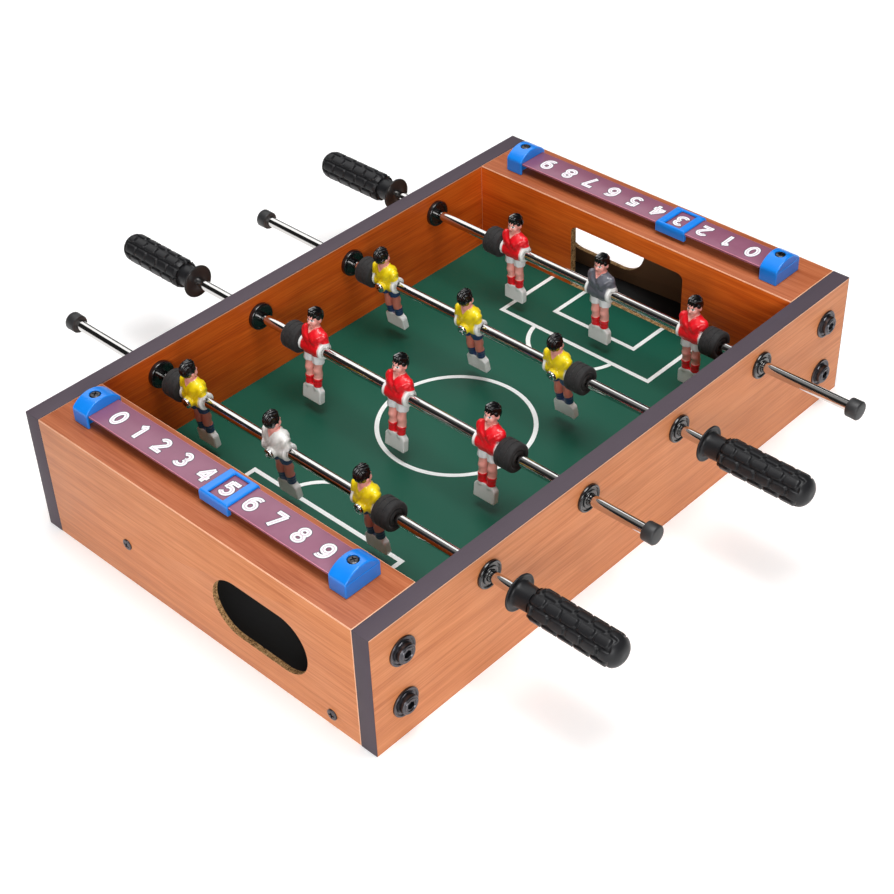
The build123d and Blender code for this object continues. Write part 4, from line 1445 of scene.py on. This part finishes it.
def figure_depth(p):
    """The man below his head."""
    x, y, z = p[..., 0], p[..., 1], p[..., 2]
    side = np.abs(y)
    paired = np.stack([x, side, z], -1)
    from_rod = np.hypot(x, z)

    deep, wide = torso_depth(z), torso_width(z)
    section = ((np.abs(x) / deep) ** 2.3 + (side / wide) ** 2.3) ** (1 / 2.3)
    torso = meet(1.2, (section - 1) * deep, z - 18.2, HEM_Z - 0.2 - z)
    chest = ball(paired, (3.4, 3.6, 9.6), (3.6, 4.6, 4.4))
    torso = melt(torso, chest, 2.2)
    upper_arm = limb(paired, (-0.4, 9.0, 12.0), (-1.0, 10.2, 4.6), 3.3, 3.0)
    torso = melt(torso, upper_arm, 1.6)
    drape = np.sin(0.95 * y + 0.85 * z + 1.3 * np.sin(0.33 * z))
    drape = drape + 0.7 * np.sin(1.5 * side - 1.1 * z)
    cloth = np.clip((z + 6) / 4, 0, 1) * np.clip((15 - z) / 4, 0, 1)
    torso = torso + 0.24 * drape * cloth
    sleeve_end = np.abs(z - 3.4 + 0.25 * (side - 9)) - 0.35
    torso = torso + 0.4 * np.exp(-(sleeve_end / 0.5) ** 2) * np.clip((side - 7.6) / 1.2, 0, 1)
    collar = np.abs(side - (z - COLLAR_Z) * COLLAR_SLOPE) * 0.85
    high = np.clip((z - COLLAR_Z + 0.6) / 1.2, 0, 1) * np.clip((18.4 - z) / 0.8, 0, 1)
    torso = torso - 0.55 * np.exp(-(collar / 0.75) ** 2) * high
    hem = np.exp(-((z - HEM_Z - 0.6) / 0.7) ** 2)
    torso = torso - 0.3 * hem * np.clip((HUB_R + 2 - side) / 2, 0, 1)

    hand = meet(1.0, from_rod - HUB_R, side - HUB_HALF)
    knuckles = 0.22 * np.cos(2.1 * (side - 9.2)) * np.clip((side - 7.5) / 1.5, 0, 1)
    body = melt(torso, hand + knuckles, 1.0)

    short_leg = limb(paired, (0.0, 4.1, -4.0), (0.2, 4.75, -14.0), 4.9, 4.5)
    shorts = meet(0.5, short_leg, SHORTS_LOW - z)
    pleat = 0.14 * np.sin(1.8 * y + 0.5 * z) * np.clip((-6 - z) / 3, 0, 1)
    body = melt(body, shorts + pleat, 0.7)
    thigh = limb(paired, (0.2, LEG_Y, -9.0), (0.5, LEG_Y, -19.0), 3.6, 3.1)
    knee = ball(paired, (2.0, LEG_Y, -18.6), (1.8, 2.2, 2.2))
    shin = limb(paired, (0.3, LEG_Y, -19.0), (0.1, LEG_Y - 0.1, -34.5), 3.0, 2.75)
    calf = ball(paired, (-1.3, LEG_Y, -23.0), (2.4, 2.7, 4.4))
    legs = melt(melt(thigh, shin, 1.2), melt(knee, calf, 0.6), 1.6)
    cuff = meet(0.4, np.hypot(x - 0.1, side - LEG_Y) - 3.55, z - SOCK_TOP - 0.1,
                SOCK_TOP - 1.9 - z)
    sock = limb(paired, (0.1, LEG_Y, SOCK_TOP - 1.8), (0.1, LEG_Y, -34.0), 3.2, 3.1)
    sock = sock + 0.12 * np.sin(2.6 * z)
    legs = melt(legs, melt(cuff, sock, 0.5), 0.4)
    body = melt(body, legs, 0.5)

    slant = (side - FOOT_HALF_W + z - FOOT_HIGH + FOOT_CORNER) * 0.7071
    foot_side = np.abs(x) - FOOT_HALF_T + 0.012 * (z - FOOT_LOW)
    foot = meet(0.9, side - FOOT_HALF_W, foot_side, slant, z - FOOT_HIGH, FOOT_LOW - z)
    body = melt(body, foot, 0.8)
    seat = meet(0.5, np.hypot(y, z) - 4.4, BACK_X - x, x)
    body = melt(body, seat, 1.2)
    return meet(0.15, body, ROD_R + 0.02 - from_rod)


def hair_depth(p):
    """Short hair, combed back from the brow."""
    x, y, z = p[..., 0], p[..., 1], p[..., 2]
    cap = ball(p, (-0.8, 0, 26.0), (5.95, 5.4, 6.3))
    cap = melt(cap, ball(p, (2.2, 0, 29.6), (2.9, 3.9, 2.3)), 1.0)
    line = (22.7 + 0.60 * x - z + 0.5 * np.sin(1.7 * np.abs(y))) * 0.83
    strands = np.sin(2.9 * (y + 0.2 * x) + 0.9 * np.sin(0.55 * x) + 0.5 * np.sin(0.8 * z))
    return meet(0.4, cap + 0.42 * strands, line)


def face_depth(p):
    """A plain moulded face, ears and neck."""
    x, y, z = p[..., 0], p[..., 1], p[..., 2]
    paired = np.stack([x, np.abs(y), z], -1)
    skull = ball(p, (-0.7, 0, 25.6), (5.4, 4.8, 5.6))
    front = ball(p, (1.1, 0, 22.8), (4.4, 4.1, 5.6))
    head = melt(skull, front, 1.4)
    head = melt(head, ball(p, (2.9, 0, 18.9), (2.2, 2.2, 1.9)), 1.5)
    head = melt(head, ball(paired, (3.1, 2.3, 21.6), (1.8, 1.7, 1.9)), 1.3)
    socket = ball(paired, (5.9, 1.9, EYE_Z), (1.2, 1.5, 0.85))
    head = -melt(-head, socket, 0.5)
    brow = limb(paired, (4.9, 0.4, EYE_Z + 1.5), (3.9, 3.0, EYE_Z + 1.4), 0.7, 0.5)
    nose = limb(p, (5.0, 0, EYE_Z + 0.4), (6.0, 0, EYE_Z - 2.0), 0.6, 0.95)
    lips = limb(paired, (4.8, 0, EYE_Z - 3.9), (4.1, 1.3, EYE_Z - 3.9), 0.55, 0.35)
    head = melt(melt(head, brow, 0.7), melt(nose, lips, 0.3), 0.8)
    ear = ball(paired, (-0.6, 4.9, 23.2), (1.2, 0.8, 1.7))
    head = melt(head, ear, 0.5)
    neck = limb(p, (-0.9, 0, 12.5), (-0.6, 0, 20.0), 3.8, 3.3)
    return melt(head, neck, 1.2)


def head_depth(p):
    return np.minimum(hair_depth(p), face_depth(p))


def build_players():
    teams = {"yellow_team": figure_paint("yellow_team_paint", YELLOW, NAVY, TAN, NAVY),
             "red_team": figure_paint("red_team_paint", RED, WHITE_CLOTH, SKIN, RED)}
    keepers = {1: figure_paint("white_keeper_paint", PALE_CLOTH, NAVY, TAN, NAVY),
               4: figure_paint("grey_keeper_paint", GREY_CLOTH, WHITE_CLOTH, SKIN, RED)}
    body = outward(skin(figure_depth, (-11, -13, -48), (9, 13, 20), step=0.55))
    head = outward(skin(head_depth, (-9.5, -8.5, 11), (9.5, 8.5, 35.5), step=0.36))
    figure = body + head
    hair = np.concatenate([np.ones(len(body.points)),
                           hair_depth(head.points) - face_depth(head.points) - 0.02])
    for n in RODS:
        team = "yellow_team" if n in (1, 3) else "red_team"
        for spot, y in zip(SPOTS, MEN_Y):
            keeper = spot == "middle" and n in keepers
            paint = keepers[n] if keeper else teams[team]
            slot = team + ("_keeper" if keeper else "")
            place = rod_frame(n) @ shift(y=y) @ turn(ROD_FACING[n], "Z")
            made = to_mesh(f"rod_{n}_figure_{spot}", figure.moved(place), [paint],
                           sharp=60)
            local = made.data.attributes.new("local", "FLOAT_VECTOR", "POINT")
            local.data.foreach_set("vector", figure.points.astype(np.float32).ravel())
            depth = made.data.attributes.new("hair", "FLOAT", "POINT")
            depth.data.foreach_set("value", hair.astype(np.float32))
            settle_in(made, f"rod_{n}", slot, f"rod_{n}_man_{spot}")


# ------------------------------------------------------------------ floor, light, camera
FLOOR_WHITE = (0.86, 0.86, 0.86, 1)
FLOOR_GLOW = 0.28
SKY_LOW, SKY_HIGH = (0.02, 0.02, 0.02, 1), (0.35, 0.35, 0.35, 1)
BACKDROP = (1, 1, 1, 1)                 # what is seen past the edge of the floor
LIT_SPOT = Vector((0, 0, 0.05))
LIGHTS = (                              # name, place, size (both in metres) and power
    ("front_softbox", (-1.9, -1.9, 1.1), (1.6, 1.0), 40.0),
    ("top_softbox", (-0.1, -0.3, 2.5), (1.4, 1.2), 50.0),
    ("back_softbox", (0.75, 1.45, 1.5), (2.0, 1.3), 12.0),
)


def build_stage():
    """A pale floor under soft studio light."""
    floor = to_mesh("floor", block((-9000, -9000, -20), (9000, 9000, -0.05)))
    paint = Finish("floor_paint", roughness=0.9, emission_color=(1, 1, 1, 1),
                   emission_strength=FLOOR_GLOW)
    paint.coat("base_color", paint.shade(FLOOR_WHITE, 0.01, paint.noise(paint.place(), 900.0)))
    floor.data.materials.append(paint.material)

    world = bpy.data.worlds.new("studio")
    world.use_nodes = True
    bpy.context.scene.world = world
    sky = Tree(world.node_tree)
    up = sky.add("ShaderNodeSeparateXYZ", None,
                 {0: sky.add("ShaderNodeTexCoord", output="Generated")}, output="Z")
    glow = sky.add("ShaderNodeValToRGB", {"stops": [(0.86, SKY_LOW), (0.97, SKY_HIGH)]},
                   {0: up * 0.5 + 0.5})
    seen = sky.add("ShaderNodeLightPath", output="Is Camera Ray")
    glow = sky.add("ShaderNodeMix", {"data_type": "RGBA"}, {0: seen, 6: glow, 7: BACKDROP},
                   output=2)
    background = world.node_tree.nodes["Background"]
    sky.feed(background.inputs["Color"], glow)
    background.inputs["Strength"].default_value = 1.0

    for name, place, size, power in LIGHTS:
        light = bpy.data.lights.new(name, "AREA")
        light.shape = "RECTANGLE"
        light.size, light.size_y = size
        light.energy = power
        holder = bpy.data.objects.new(name, light)
        holder.location = place
        holder.rotation_euler = (LIT_SPOT - Vector(place)).to_track_quat("-Z", "Y").to_euler()
        bpy.context.scene.collection.objects.link(holder)


CAMERA_PLACE = (-0.73774, -0.73193, 0.83455)
CAMERA_AZIMUTH = 45.434                 # degrees from +Y towards +X
CAMERA_DIP = 38.900                     # below the horizon
CAMERA_ROLL = -2.220
CAMERA_LENS = 70.55


def build_camera():
    data = bpy.data.cameras.new("camera")
    data.sensor_width = 36.0
    data.lens = CAMERA_LENS
    data.clip_start, data.clip_end = 0.05, 60.0
    camera = bpy.data.objects.new("camera", data)
    azimuth, dip = math.radians(CAMERA_AZIMUTH), math.radians(CAMERA_DIP)
    look = Vector((math.sin(azimuth) * math.cos(dip), math.cos(azimuth) * math.cos(dip),
                   -math.sin(dip)))
    level = look.to_track_quat("-Z", "Y").to_matrix().to_4x4()
    camera.matrix_world = (Matrix.Translation(CAMERA_PLACE) @ level
                           @ Matrix.Rotation(math.radians(CAMERA_ROLL), 4, "Z"))
    bpy.context.scene.collection.objects.link(camera)
    bpy.context.scene.camera = camera
    bpy.context.scene.view_settings.view_transform = "Standard"


# ------------------------------------------------------------------------------- build
YELLOW = tint(255, 226, 20)
RED = tint(240, 18, 34)
NAVY = tint(38, 58, 100)
TAN = tint(206, 120, 102)
WHITE_CLOTH = tint(246, 246, 248)
PALE_CLOTH = tint(240, 240, 236)
GREY_CLOTH = tint(98, 100, 110)

end_laminate = laminate("end_laminate", 1, OUTER_WOOD)
# The end tops and the goal walls take darker, redder copies of the print: painted shade.
top_laminate = laminate("top_laminate", 1, TOP_WOOD_SHADED)
wall_laminate = laminate("wall_laminate", 1, INNER_WOOD_SHADED)
shaded_back_paint = board_back()
fold_and_highlight_paint = fold_line()
raw_paint = raw_fibre()
band_paint = edge_band_plastic()
ramp_paint = black_board()
softwood_paint = softwood()
line_paint = print_ink("line_ink", tint(244, 248, 246))
inline_paint = print_ink("number_inline", tint(216, 196, 208))
number_paint = print_ink("number_ink", tint(250, 248, 250))
outline_paint = print_ink("number_outline_ink", tint(92, 74, 92))
zinc_paint = metal("zinc_plate", tint(170, 170, 166), 0.32)
steel_paint = metal("black_steel", tint(88, 87, 91), 0.27)
bright_paint = metal("bright_zinc", tint(214, 214, 214), 0.14)
chrome_paint = metal("chrome_plate", tint(214, 212, 210), 0.05, scratch=0.004)
gloss_paint = moulded_plastic("gloss_black_plastic", tint(17, 17, 19), 0.24, grain=0.01,
                              shine=0.5)
grip_paint = moulded_plastic("grip_plastic", tint(30, 30, 32), 0.40, grain=0.03, glint=0.3)
cap_paint = moulded_plastic("cap_plastic", tint(44, 44, 45), 0.48, grain=0.03)
blue_paint = moulded_plastic("blue_plastic", tint(16, 134, 238), 0.32, grain=0.01, shine=0.3)
rubber_paint = rubber()
strip_paint = scorer_strip()
# A lighter pink for the strip's rounded edges: a painted highlight.
painted_strip_highlight = print_ink("strip_edge", tint(222, 140, 160))

build_camera()
build_stage()
build_cabinet()
pitch_lines()
build_fasteners()
build_scorers()
build_rods()
build_players()
